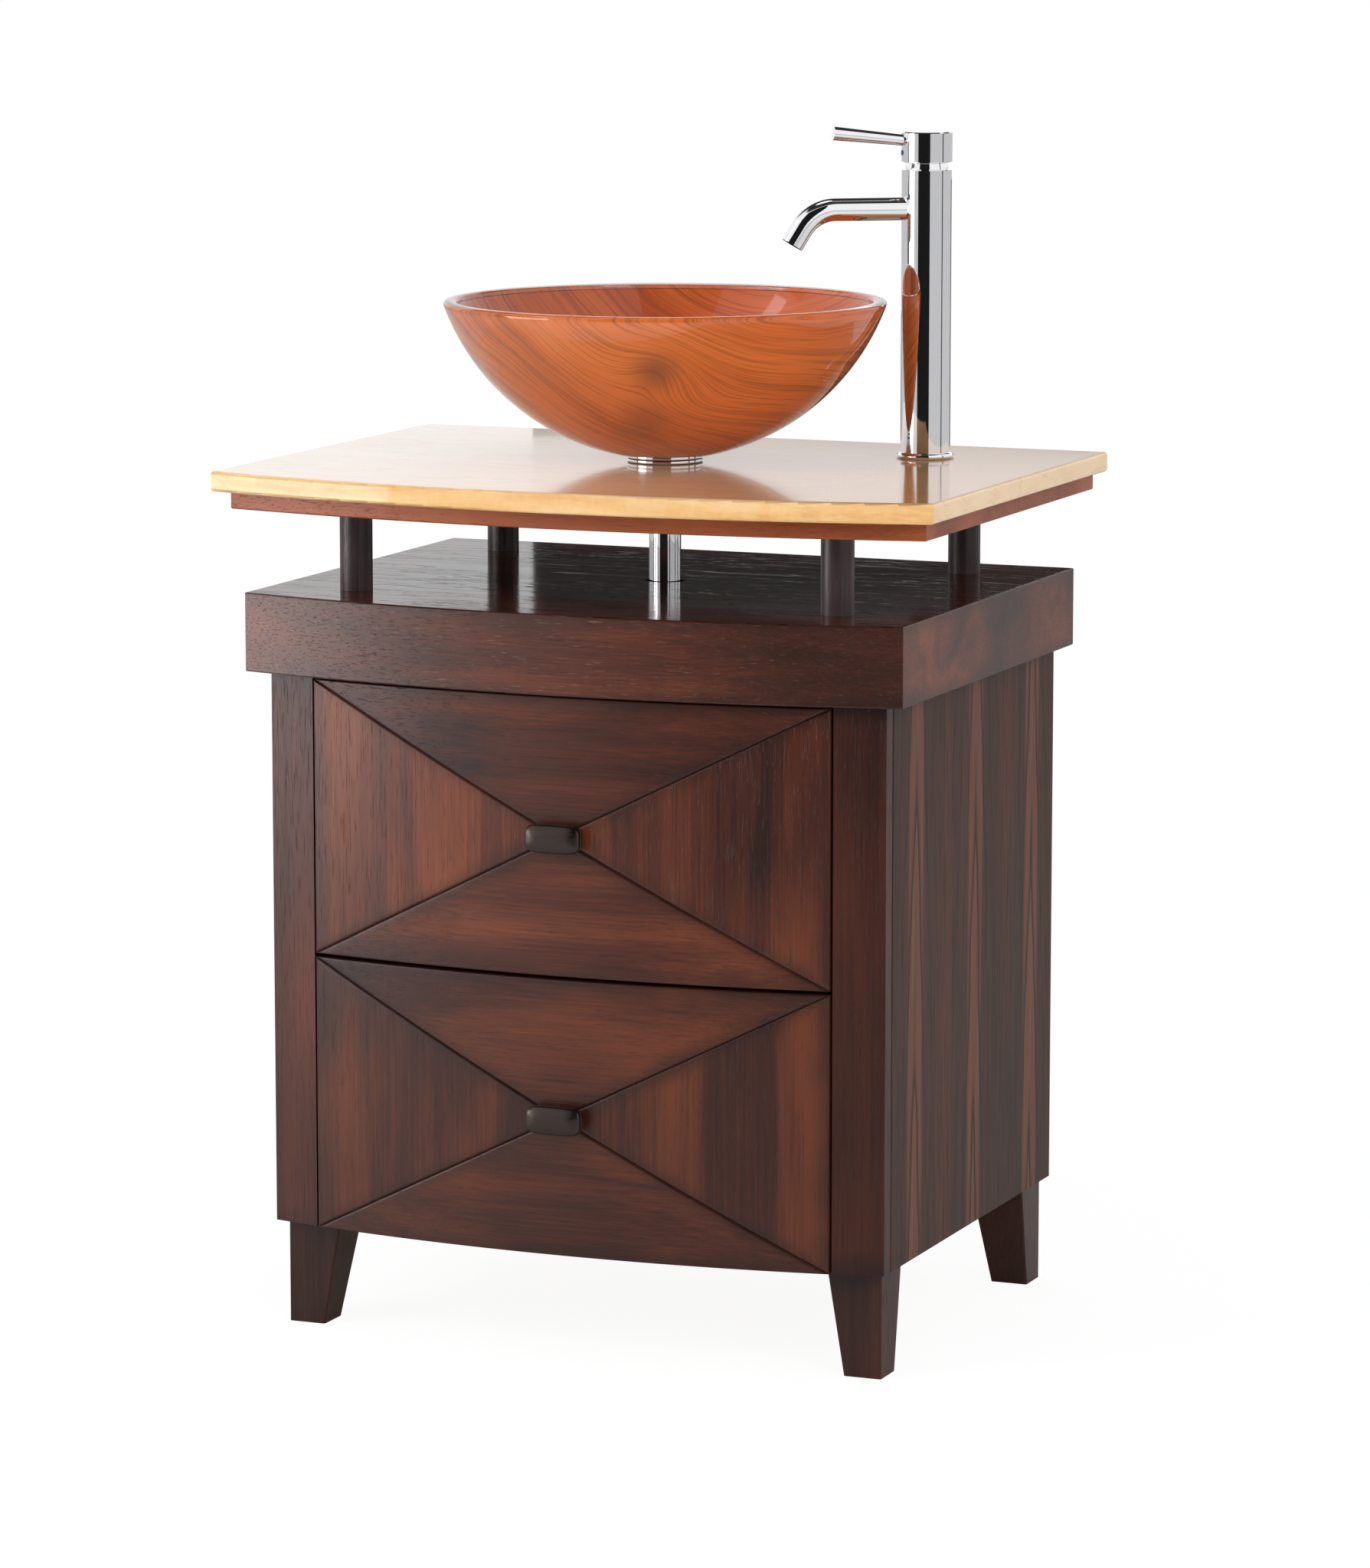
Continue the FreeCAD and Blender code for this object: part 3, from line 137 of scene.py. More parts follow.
class Graph(Nodes):
    """A material's nodes around one Principled shader."""

    def __init__(self, name):
        self.material = bpy.data.materials.new(name)
        self.material.use_nodes = True
        super().__init__(self.material.node_tree)
        self.output = self.node("ShaderNodeOutputMaterial")
        self.shader = self.node("ShaderNodeBsdfPrincipled")
        self.show(self.shader)
        self.coords = self.node("ShaderNodeTexCoord").outputs["Object"]

    def show(self, shader):
        """This shader is what the surface shows."""
        self.put(self.output.inputs["Surface"], shader.outputs[0])

    def bump(self, height, distance, strength=1.0):
        node = self.node("ShaderNodeBump", {"Height": height, "Distance": distance, "Strength": strength})
        self.put(self.shader.inputs["Normal"], node.outputs[0])

    def finish(self, colour, roughness, **fixed):
        """Connect colour and roughness, and set the rest straight on the shader."""
        self.put(self.shader.inputs["Base Color"], colour)
        self.put(self.shader.inputs["Roughness"], roughness)
        for name, value in fixed.items():
            self.put(self.shader.inputs[name.replace("_", " ")], value)
        return self.material


def srgb(red, green, blue):
    """A display colour, 0 to 255, as linear numbers."""
    def linear(value):
        value /= 255
        return value / 12.92 if value <= 0.04045 else ((value + 0.055) / 1.055) ** 2.4
    return (linear(red), linear(green), linear(blue))


# ---------------------------------------------------------------- wood
ESPRESSO = (srgb(42, 19, 14), srgb(79, 35, 21), srgb(124, 62, 32))
# The espresso darkened for the lower drawer: painted shade.
SHADED_ESPRESSO = (srgb(34, 15, 11), srgb(62, 27, 17), srgb(104, 50, 26))
MAHOGANY = (srgb(100, 46, 24), srgb(142, 70, 36), srgb(170, 92, 52))
UMBER = (srgb(42, 20, 15), srgb(72, 33, 23), srgb(98, 48, 32))
# The left stile's wood darkened for the right stile: painted shade.
SHADED_STILE_TONES = (srgb(34, 13, 8), srgb(58, 24, 14), srgb(80, 36, 21))
BLACK_BROWN = (srgb(28, 14, 10), srgb(50, 25, 18), srgb(72, 38, 26))
CHARCOAL = (srgb(44, 36, 36), srgb(64, 52, 52), srgb(82, 67, 65))
PLYWOOD = (srgb(150, 112, 78), srgb(186, 148, 108), srgb(206, 172, 132))
GRAIN_DEPTH = 0.22 * MM


def along_grain(g, grain):
    """Coordinates turned so that the third runs along the grain."""
    x, y, z = g.axes(g.coords)
    order = {"X": (y, z, x), "Y": (z, x, y), "Z": (x, y, z)}[grain]
    return g.vector(*order)


def wood_pattern(g, space, tones, seed, streak=1.0):
    """Colour and height of stained wood whose grain runs along the third axis of space.

    Streak makes the long light and dark bands stronger.
    """
    dark, middle, light = tones
    broad = g.noise(g.scaled(space, (16, 16, 1.6), (seed, seed, seed)), 1.0, 3.0, 0.55, 0.6)
    blotch = g.noise(g.scaled(space, (5, 5, 3), (seed + 7, 3, seed)), 1.0, 2.0, 0.5)
    fibre = g.noise(g.scaled(space, (420, 420, 7), (0, seed, 0)), 1.0, 4.0, 0.6)
    pores = g.noise(g.scaled(space, (900, 900, 34), (seed, 0, 0)), 1.0, 2.0, 0.5)
    tone = g.plus(g.times(broad, 0.62 * streak), g.times(blotch, 0.55))
    tone = g.plus(tone, g.times(g.minus(fibre, 0.5), 0.30))
    colour = g.ramp(tone, (0.40, dark), (0.55, middle), (0.76, light))
    pore_mask = g.span(pores, 0.60, 0.70)
    colour = g.mix(g.times(pore_mask, 0.45), colour, dark)
    height = g.minus(g.times(fibre, 0.5), g.times(pore_mask, 0.8))
    return colour, height


def wood(name, grain, tones, seed, roughness, shade=None):
    """Stained wood; shade is (axis, low, high, width) and darkens the wood towards both edges."""
    g = Graph(name)
    colour, height = wood_pattern(g, along_grain(g, grain), tones, seed)
    if shade:
        colour = g.mix(edge_shade(g, *shade), colour, tones[0])
    rough = g.span(height, -0.5, 0.6, roughness + 0.10, roughness - 0.04)
    g.bump(height, GRAIN_DEPTH, 0.8)
    return g.finish(colour, rough, Specular_IOR_Level=0.32)


def edge_shade(g, axis, low, high, width):
    """Strongest at both ends of an axis, gone within a width, and uneven."""
    value = g.axes(g.coords)["XYZ".index(axis)]
    nearest = g.math("MINIMUM", g.minus(value, low), g.minus(high, value))
    uneven = g.times(g.noise(g.coords, 14.0, 2.0), 0.9 * width)
    shade = g.span(g.plus(nearest, uneven), 0.2 * width, 1.3 * width, 1.0, 0.0)
    return g.times(shade, 0.8)


def drawer_wood(name, box, seed, tones):
    """Four veneer triangles: grain level above and below the crossing, upright at the sides."""
    low, high = box
    half_x = (high.x - low.x) / 2
    half_z = (high.z - low.z) / 2
    middle_z = (high.z + low.z) / 2
    g = Graph(name)
    x, _, z = g.axes(g.coords)
    z = g.minus(z, middle_z)
    size = math.hypot(half_x, half_z)
    across = g.math("ABSOLUTE", x)
    up = g.math("ABSOLUTE", z)
    lead = g.minus(g.times(across, half_z / size), g.times(up, half_x / size))
    upright = g.math("GREATER_THAN", lead, 0.0)
    level_colour, level_height = wood_pattern(g, along_grain(g, "X"), tones, seed)
    side_colour, side_height = wood_pattern(g, along_grain(g, "Z"), tones, seed + 3.0, 1.15)
    colour = g.mix(upright, level_colour, side_colour)
    height = g.blend(upright, level_height, side_height)
    to_groove = g.math("ABSOLUTE", lead)
    to_side = g.minus(half_x, across)
    to_edge = g.minus(half_z, up)
    nearest = g.math("MINIMUM", g.times(to_groove, 1.6), g.math("MINIMUM", to_side, to_edge))
    uneven = g.times(g.noise(g.coords, 16.0, 2.0), 30 * MM)
    shade = g.times(g.span(g.plus(nearest, uneven), 4 * MM, 42 * MM, 1.0, 0.0), 0.75)
    colour = g.mix(shade, colour, tones[0])
    # Painted shade: a thin dark line along the V grooves.
    groove_shade = g.span(to_groove, 0.6 * MM, 2.4 * MM, 1.0, 0.0)
    colour = g.mix(g.times(groove_shade, 0.35), colour, srgb(24, 12, 10))
    g.bump(height, GRAIN_DEPTH, 0.8)
    return g.finish(colour, g.span(height, -0.5, 0.6, 0.42, 0.30), Specular_IOR_Level=0.36)


def flame_wood(name, middle_y, period):
    """Side panel veneer: a cathedral flame, repeated side by side, between fine upright lines.

    The flame is drawn by rings, lines that rise towards the middle of each repeat.
    """
    g = Graph(name)
    _, y, z = g.axes(g.coords)
    sway = g.minus(g.noise(g.scaled(g.coords, (1, 9, 3)), 1.0, 2.0), 0.5)
    shifted = g.plus(g.minus(y, middle_y - 1.5 * period), g.times(sway, 12 * MM))
    leaf = g.math("FLOOR", g.math("DIVIDE", shifted, period))
    local = g.math("ABSOLUTE", g.minus(g.math("FLOORED_MODULO", shifted, period), period / 2))
    uneven = g.minus(g.noise(g.scaled(g.coords, (1, 5, 6), (3, 0, 0)), 1.0, 2.0), 0.5)
    rise = g.plus(g.plus(z, g.times(leaf, 50 * MM)), g.times(uneven, 200 * MM))
    rings = g.plus(g.math("DIVIDE", rise, 260 * MM), g.math("DIVIDE", local, 22 * MM))
    step = g.math("FRACT", rings)
    flame = g.times(g.span(local, 14 * MM, 22 * MM, 1.0, 0.0), g.span(step, 0.05, 0.40))
    lines = g.times(g.span(step, 0.0, 0.22, 1.0, 0.0), g.span(step, 0.0, 0.02))
    fibre = g.noise(g.scaled(g.coords, (300, 420, 7)), 1.0, 4.0, 0.6)
    dashes = g.noise(g.scaled(g.coords, (500, 560, 16)), 1.0, 2.0)
    broad = g.noise(g.scaled(g.coords, (8, 22, 1.4)), 1.0, 3.0)
    between = g.times(g.span(local, 0.30 * period, 0.48 * period), g.span(broad, 0.35, 0.6))
    ground = g.ramp(broad, (0.3, srgb(58, 35, 26)), (0.5, srgb(64, 38, 28)), (0.72, srgb(72, 42, 31)))
    ground = g.mix(g.times(between, 0.5), ground, srgb(92, 48, 34))
    dark = srgb(26, 18, 18)
    colour = g.mix(g.times(lines, g.span(local, 22 * MM, 50 * MM, 0.75, 0.30)), ground, dark)
    colour = g.mix(g.times(g.span(dashes, 0.50, 0.62), 0.6), colour, dark)
    tan = g.ramp(fibre, (0.3, srgb(96, 57, 41)), (0.7, srgb(118, 73, 53)))
    colour = g.mix(g.times(flame, 0.95), colour, tan)
    height = g.minus(g.times(fibre, 0.5), g.times(lines, 0.4))
    g.bump(height, 0.25 * MM, 0.8)
    return g.finish(colour, g.span(fibre, 0.2, 0.8, 0.50, 0.40), Specular_IOR_Level=0.16)


def slab_wood(name, low, high):
    """Front and sides in streaky espresso, with painted shade towards the right end of the front and a
    painted sheen on its left end; the top near black with deep open grain and a gloss.
    """
    g = Graph(name)
    space = along_grain(g, "X")
    colour, height = wood_pattern(g, space, ESPRESSO, 11.0)
    flecks = g.noise(g.scaled(g.coords, (60, 500, 900)), 1.0, 2.0)
    fleck_mask = g.times(g.span(flecks, 0.63, 0.72), 0.35)
    colour = g.mix(edge_shade(g, "Z", low.z, high.z, 0.020), colour, ESPRESSO[0])
    colour = g.mix(fleck_mask, colour, srgb(150, 118, 104))
    x = g.axes(g.coords)[0]
    # Painted shade: the front gets darker towards its right end.
    painted_shade_to_right = g.times(g.span(x, 0.02, 0.26), g.span(g.facing("X"), 0.5, 0.8, 0.6, 0.0))
    colour = g.mix(painted_shade_to_right, colour, srgb(40, 18, 12))
    # Painted sheen: the left end is painted lighter, as a reflection.
    colour = g.mix(g.span(x, -0.34, -0.16, 0.26, 0.0), colour, srgb(150, 116, 110))
    top = g.span(g.facing("Z"), 0.6, 0.9)
    waves = g.noise(g.scaled(g.coords, (2.2, 26, 1)), 1.0, 4.0, 0.55, 1.2)
    rings = g.math("PINGPONG", g.times(waves, 7.0), 0.5)
    open_grain = g.span(rings, 0.02, 0.16, 1.0, 0.0)
    top_colour = g.mix(g.times(open_grain, 0.7), srgb(66, 36, 28), srgb(16, 9, 8))
    colour = g.mix(top, colour, top_colour)
    g.bump(g.blend(top, height, g.times(open_grain, -1.5)), GRAIN_DEPTH, 0.9)
    g.put(g.shader.inputs["Specular IOR Level"], g.blend(top, 0.42, 0.10))
    return g.finish(colour, g.blend(top, 0.36, 0.10))


def plain_wood(name, grain, seed):
    """Pale unstained plywood of the drawer boxes."""
    g = Graph(name)
    colour, height = wood_pattern(g, along_grain(g, grain), PLYWOOD, seed)
    g.bump(height, 0.2 * MM, 0.7)
    return g.finish(colour, 0.55, Specular_IOR_Level=0.4)


# ---------------------------------------------------------------- stone, glass and metal
def onyx(name):
    """Honey onyx: cream and honey clouds in long soft bands; the top has painted light and shade, pale as a
    painted reflection at the left and rosy then tan towards the right, and the right edge is painted
    lighter.
    """
    g = Graph(name)
    bands = g.noise(g.scaled(g.coords, (3.0, 9.0, 30.0)), 1.0, 5.0, 0.55, 1.4)
    clouds = g.noise(g.coords, 26.0, 4.0, 0.6, 0.4)
    speck = g.noise(g.coords, 160.0, 2.0, 0.5)
    tone = g.plus(g.times(bands, 0.7), g.times(clouds, 0.3))
    tone = g.plus(tone, g.times(g.minus(speck, 0.5), 0.12))
    honey = [(0.28, srgb(230, 168, 100)), (0.46, srgb(243, 197, 134))]
    cream = [(0.60, srgb(249, 213, 160)), (0.78, srgb(254, 231, 198))]
    colour = g.ramp(tone, *honey, *cream)
    # Painted light and shade on the top: pale at the left as a painted reflection, rosy, then darker tan
    # towards the right.
    painted_shade_to_right = g.span(g.axes(g.coords)[0], -0.30, 0.34)
    pale, rose, tan = srgb(255, 245, 236), srgb(232, 200, 170), srgb(156, 106, 70)
    painted_top_light_shade = g.ramp(painted_shade_to_right, (0.0, pale), (0.45, rose), (1.0, tan))
    colour = g.mix(g.times(g.span(g.facing("Z"), 0.5, 0.95), 0.74), colour, painted_top_light_shade)
    # Painted light: the faces towards the right, the stone's right edge, are painted lighter.
    colour = g.mix(g.times(g.span(g.facing("X"), 0.6, 0.9), 0.7), colour, srgb(255, 226, 188))
    veins = g.noise(g.scaled(g.coords, (2.0, 6.0, 20.0), (4, 1, 2)), 1.0, 6.0, 0.6, 2.0)
    vein = g.span(g.math("ABSOLUTE", g.minus(veins, 0.5)), 0.0, 0.030, 1.0, 0.0)
    colour = g.mix(g.times(vein, 0.14), colour, srgb(190, 122, 72))
    g.bump(g.noise(g.coords, 60.0, 2.0), 0.06 * MM, 0.3)
    return g.finish(
        colour, 0.12, Coat_Weight=0.22, Coat_Roughness=0.03, Specular_IOR_Level=0.42,
        Subsurface_Weight=0.18, Subsurface_Scale=0.012,
    )


# The print is flat, laid onto the bowl from the front right: the directions of its width and height.
PRINT_ACROSS = (0.925, 0.380, 0.0)
PRINT_UP = (-0.059, 0.144, 0.988)
# One print in two tones, lighter outside and darker inside: painted light and shade.
OUTSIDE_LIT_TONES = ((0.30, srgb(204, 100, 44)), (0.50, srgb(222, 118, 52)), (0.72, srgb(238, 134, 62)))
INSIDE_SHADED_TONES = ((0.30, srgb(170, 74, 34)), (0.50, srgb(198, 94, 44)), (0.72, srgb(216, 110, 54)))


def print_lines(g, u, v, away):
    """A field whose level lines nest towards the upper right, swell round a knot and dip low down."""
    plane = g.vector(u, v, 0.0)
    nest = away(0.105, 0.015, 1.35)
    knot = away(-0.008, -0.146, 1.3)
    tongue = away(0.045, -0.172, 3.0)

    def hill(distance, height, width):
        return g.math("DIVIDE", height, g.plus(1.0, g.math("POWER", g.math("DIVIDE", distance, width), 2.0)))

    warp = g.minus(g.noise(g.scaled(plane, (5, 7, 1)), 1.0, 2.0), 0.5)
    swell = g.plus(hill(knot, 0.020, 0.022), hill(tongue, -0.012, 0.018))
    return g.plus(g.plus(nest, swell), g.times(warp, 0.024)), knot


def bowl_wood(name, centre, tones):
    """Orange wood print with painted light, darker to the left and lighter to the right and low down: u runs
    across it and v up it, both in metres from the bowl's centre.
    """
    g = Graph(name)
    offset = g.vector_math("SUBTRACT", g.coords, tuple(centre))
    u = g.vector_math("DOT_PRODUCT", offset, PRINT_ACROSS, "Value")
    v = g.vector_math("DOT_PRODUCT", offset, PRINT_UP, "Value")

    def away(middle_u, middle_v, wide):
        """Distance to a point of the print, with lengths across counted less the wider it is."""
        across = g.times(g.minus(u, middle_u), 1 / wide)
        up = g.minus(v, middle_v)
        return g.math("SQRT", g.plus(g.math("POWER", across, 2.0), g.math("POWER", up, 2.0)))

    field, knot = print_lines(g, u, v, away)
    coarse = g.noise(g.vector(g.times(field, 190.0), g.times(u, 5.0), 0.0), 1.0, 3.0, 0.6)
    fine = g.noise(g.vector(g.times(field, 900.0), g.times(u, 9.0), 5.0), 1.0, 2.0, 0.6)
    broad = g.noise(g.vector(g.times(field, 14.0), g.times(u, 2.0), 3.0), 1.0, 2.0, 0.5)
    colour = g.ramp(broad, *tones)
    dark = tuple(0.42 * channel for channel in tones[0][1])
    colour = g.mix(g.times(g.span(coarse, 0.50, 0.62), 0.34), colour, dark)
    colour = g.mix(g.times(g.span(fine, 0.50, 0.64), 0.42), colour, dark)
    low_knot = away(-0.018, -0.186, 1.5)
    for spot, strength in ((knot, 0.60), (low_knot, 0.40)):
        near = g.times(g.span(spot, 0.002, 0.024, 1.0, 0.0), strength)
        colour = g.mix(near, colour, srgb(104, 62, 44))
    # Painted light and shade: darker on the left, lighter on the right and low down.
    painted_light = g.times(g.span(u, -0.17, 0.17, 0.84, 1.14), g.span(v, -0.195, -0.14, 1.24, 1.0))
    colour = g.mix(1.0, colour, g.vector(painted_light, painted_light, painted_light), "MULTIPLY")
    return g.finish(colour, 0.32, Coat_Weight=0.5, Coat_Roughness=0.03, Specular_IOR_Level=0.3)


def clear_glass(name):
    """Thick clear glass, a little uneven; shadow rays pass it, so that what is behind it is lit."""
    g = Graph(name)
    tint = g.ramp(g.noise(g.coords, 9.0, 2.0), (0.3, (1.0, 0.97, 0.96)), (0.7, (1.0, 1.0, 1.0)))
    g.finish(tint, 0.0, Transmission_Weight=1.0, IOR=1.5)
    shadow = g.node("ShaderNodeLightPath").outputs["Is Shadow Ray"]
    through = g.node("ShaderNodeBsdfTransparent").outputs[0]
    g.show(g.node("ShaderNodeMixShader", [shadow, g.shader.outputs[0], through]))
    return g.material


def metal(name, colour, roughness, brushed=None, wear=0.25):
    """Metal with uneven polish; brushed is how fine its lines are along each axis."""
    g = Graph(name)
    noise = g.noise(g.scaled(g.coords, brushed or (60, 60, 60)), 1.0, 4.0, 0.6)
    worn = tuple(channel * (1 - 0.12 * wear) for channel in colour)
    rough = g.span(noise, 0.25, 0.75, roughness * (1 - wear), roughness * (1 + wear))
    if brushed:
        g.bump(noise, 0.1 * MM, 0.5)
    else:
        g.bump(noise, 0.03 * MM, 0.15)
    return g.finish(g.ramp(noise, (0.3, worn), (0.7, colour)), rough, Metallic=1.0)


def moulded(name, colour, roughness):
    """Rubber or plastic with a fine moulded surface."""
    g = Graph(name)
    noise = g.noise(g.coords, 700.0, 2.0)
    hollow = tuple(0.85 * channel for channel in colour)
    g.bump(noise, 0.05 * MM, 0.4)
    rough = g.span(noise, 0.2, 0.8, roughness - 0.05, roughness + 0.05)
    return g.finish(g.ramp(noise, (0.3, hollow), (0.7, colour)), rough)


# ---------------------------------------------------------------- materials on the nodes
def paint(material, *names):
    for name in names:
        mesh = nodes[name].data
        mesh.materials.clear()
        mesh.materials.append(material)


def smooth(*names, angle=35.0):
    """Smooth shading, kept sharp where faces meet at more than an angle."""
    for name in names:
        mesh = nodes[name].data
        mesh.polygons.foreach_set("use_smooth", [True] * len(mesh.polygons))
        mesh.set_sharp_from_angle(angle=math.radians(angle))


def side_veneer():
    """The flame veneer, centred on a side panel, with nearly three repeats over its depth."""
    low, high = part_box("side_panel_right")
    depth = high.y - low.y
    return flame_wood("side_veneer", low.y + depth / 2, 0.36 * depth)


def stile_wood(name, tones, seed, roughness):
    """Upright wood, shaded towards both ends of a side panel's height, which is the stiles' too."""
    low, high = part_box("side_panel_right")
    return wood(name, "Z", tones, seed, roughness, ("Z", low.z, high.z, 0.03))


paint(onyx("onyx"), "stone_top")
paint(wood("board_wood", "X", MAHOGANY, 5.0, 0.34), "support_board")
paint(slab_wood("slab_wood", *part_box("base_slab")), "base_slab")
paint(side_veneer(), "side_panel_left", "side_panel_right")
paint(stile_wood("stile_wood", UMBER, 2.0, 0.34), "stile_left")
# The right stile is painted darker than the left one, as shade.
paint(stile_wood("stile_wood_right_shaded", SHADED_STILE_TONES, 12.0, 0.40), "stile_right")
paint(
    wood("leg_wood", "Z", BLACK_BROWN, 8.0, 0.38),
    "leg_front_left", "leg_front_right", "leg_rear_left", "leg_rear_right",
)
paint(wood("back_wood", "Z", ESPRESSO, 4.0, 0.5), "back_panel")
paint(wood("rail_wood", "X", ESPRESSO, 6.0, 0.45), "front_rails")
posts = [name for name in nodes if name.startswith(("post_left", "post_right"))]
paint(wood("post_wood", "Z", CHARCOAL, 9.0, 0.30), *posts)
paint(
    plain_wood("box_wood", "Y", 3.0),
    "upper_drawer_sides", "lower_drawer_sides", "upper_drawer_pipe_notch", "slide_cleats",
)
paint(
    plain_wood("cross_wood", "X", 4.0), "bottom_panel",
    "upper_drawer_back", "lower_drawer_back", "upper_drawer_bottom", "lower_drawer_bottom",
)

chrome = metal("chrome", (0.88, 0.88, 0.90), 0.03)
brass = metal("brass", (0.72, 0.53, 0.24), 0.25, (90, 90, 300))
pewter = metal("pewter", (0.060, 0.047, 0.041), 0.34, (40, 300, 900))
zinc = metal("zinc", (0.66, 0.67, 0.69), 0.34, (400, 12, 400))
paint(
    chrome, "mounting_ring", "drain_body", "drain_stopper", "tailpiece", "tap_foot_ring", "tap_column",
    "tap_spout", "spout_aerator", "handle_cap", "handle_lever",
)
paint(brass, "drain_nut", "tap_shank", "tap_nut", "handle_core", "handle_stem")
paint(zinc, *(name for name in nodes if "slide_" in name and name != "slide_cleats"))
paint(zinc, "leg_bolts", "post_tie_rods", "upper_knob_screw", "lower_knob_screw")
paint(moulded("rubber", (0.03, 0.03, 0.032), 0.62), "ring_gasket", "drain_gasket", "clamp_washers")
paint(moulded("white_plastic", (0.78, 0.78, 0.76), 0.42), "tap_cartridge")
smooth(*nodes)


# ---------------------------------------------------------------- detailed pieces
def link(name, data):
    thing = bpy.data.objects.new(name, data)
    bpy.context.scene.collection.objects.link(thing)
    return thing


def piece(name, points, faces, materials, body, sharp, picks=()):
    """A smooth shaded mesh, in metres, that rides on a body; picks give each face its material.

    Points in one place are joined, and all faces turned outwards.
    """
    mesh = bpy.data.meshes.new(name)
    mesh.from_pydata([tuple(point) for point in points], [], faces)
    for material in materials:
        mesh.materials.append(material)
    if picks:
        mesh.polygons.foreach_set("material_index", picks)
    shape = bmesh.new()
    shape.from_mesh(mesh)
    bmesh.ops.remove_doubles(shape, verts=shape.verts, dist=0.01 * MM)
    bmesh.ops.recalc_face_normals(shape, faces=shape.faces)
    shape.to_mesh(mesh)
    shape.free()
    mesh.polygons.foreach_set("use_smooth", [True] * len(mesh.polygons))
    mesh.set_sharp_from_angle(angle=math.radians(sharp))
    mesh.update()
    thing = link(name, mesh)
    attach(thing, body)
    return thing


def lathe(profile, x, y, steps=192):
    """Points and faces of a closed profile of (radius, height) turned about an upright axis."""
    points = []
    faces = []
    count = len(profile)
    for i in range(steps):
        angle = 2 * math.pi * i / steps
        points += [(x + r * math.cos(angle), y + r * math.sin(angle), z) for r, z in profile]
    for i in range(steps):
        k = (i + 1) % steps
        for j in range(count):
            m = (j + 1) % count
            faces.append((i * count + j, k * count + j, k * count + m, i * count + m))
    return points, faces


def sleeve(start, rows, count):
    """Faces between closed rows of points, each of the same count."""
    faces = []
    for j in range(rows - 1):
        a = start + j * count
        b = a + count
        for i in range(count):
            k = (i + 1) % count
            faces.append((a + i, a + k, b + k, b + i))
    return faces


def round_plan(node):
    """Middle and radius, seen from above, of a node that is round."""
    low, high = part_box(node)
    return (low.x + high.x) / 2, (low.y + high.y) / 2, (high.x - low.x) / 2


# The bowl: a glass shell cut from a sphere, with the printed lining on its inner side.
BOWL_X, BOWL_Y, _ = round_plan("bowl_glass")
BASE_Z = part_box("bowl_glass")[0].z
RIM_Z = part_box("bowl_glass")[1].z
LINING_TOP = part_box("bowl_wood_lining")[1].z
SPHERE = 220.3 * MM
SPHERE_Z = 1030.2 * MM
GLASS = 9.0 * MM
LINING = 3.0 * MM
RIM_ROUND = 4.4 * MM
SEAT_Z = 824.4 * MM
WASTE_HOLE = 22.5 * MM
LINING_HOLE = 38.0 * MM
BOND = 0.05 * MM
PRINT_EDGE = 2.2 * MM
PRINT_RADIUS = SPHERE - GLASS
INSIDE_RADIUS = PRINT_RADIUS - LINING


def on_sphere(radius, start_z, end_z, steps):
    """Profile points along a sphere between two heights, evenly by angle."""
    start = math.acos((SPHERE_Z - start_z) / radius)
    end = math.acos((SPHERE_Z - end_z) / radius)
    angles = [start + (end - start) * i / steps for i in range(steps + 1)]
    return [(radius * math.sin(a), SPHERE_Z - radius * math.cos(a)) for a in angles]


def rim_arc(inner, outer, low, steps=14):
    """A squarish half round over the rim, from the inner wall to the outer one."""
    middle = (inner + outer) / 2
    wide = (outer - inner) / 2
    square = 0.75
    points = []
    for i in range(1, steps):
        c, s = math.cos(math.pi * i / steps), math.sin(math.pi * i / steps)
        points.append((middle - wide * math.copysign(abs(c) ** square, c), low + (RIM_Z - low) * s**square))
    return points


def sphere_height(radius, across):
    """Where a sphere's lower half is this far from its upright axis."""
    return SPHERE_Z - math.sqrt(radius**2 - across**2)


def bowl_glass():
    edge_low = RIM_Z - RIM_ROUND
    inner_top = on_sphere(INSIDE_RADIUS, LINING_TOP, edge_low, 3)
    outer_wall = on_sphere(SPHERE, edge_low, BASE_Z, 90)
    floor_from = math.sqrt(PRINT_RADIUS**2 - (SPHERE_Z - SEAT_Z) ** 2)
    profile = inner_top + rim_arc(inner_top[-1][0], outer_wall[0][0], edge_low) + outer_wall
    profile += [(WASTE_HOLE, BASE_Z), (WASTE_HOLE, SEAT_Z), (floor_from - 2 * MM, SEAT_Z)]
    profile += on_sphere(PRINT_RADIUS, SEAT_Z, LINING_TOP, 90)
    shape = lathe(profile, BOWL_X, BOWL_Y)
    thing = piece("bowl_glass_fine", *shape, [clear_glass("clear_glass")], "cabinet", 50)
    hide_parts("bowl_glass")


def bowl_lining():
    """The print: its outer side touches the glass up to just under the rim, then steps back from it."""
    edge = RIM_Z - PRINT_EDGE
    inner_wall = on_sphere(INSIDE_RADIUS, LINING_TOP, sphere_height(INSIDE_RADIUS, LINING_HOLE), 90)
    outer_wall = on_sphere(PRINT_RADIUS + BOND, sphere_height(PRINT_RADIUS, LINING_HOLE), edge, 92)
    tongue = on_sphere(PRINT_RADIUS - 8 * BOND, edge, LINING_TOP, 3)
    profile = inner_wall + outer_wall + tongue
    outside = range(len(inner_wall), len(inner_wall) + len(outer_wall))
    points, faces = lathe(profile, BOWL_X, BOWL_Y)
    picks = [1 if i % len(profile) in outside else 0 for i in range(len(faces))]
    centre = (BOWL_X, BOWL_Y, SPHERE_Z)
    # The inside copy of the print is darker and the outside one lighter: painted shade and light.
    prints = [
        bowl_wood("bowl_wood_inside_shaded", centre, INSIDE_SHADED_TONES),
        bowl_wood("bowl_wood_outside_lit", centre, OUTSIDE_LIT_TONES),
    ]
    thing = piece("bowl_lining_fine", points, faces, prints, "cabinet", 50, picks)
    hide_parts("bowl_wood_lining")


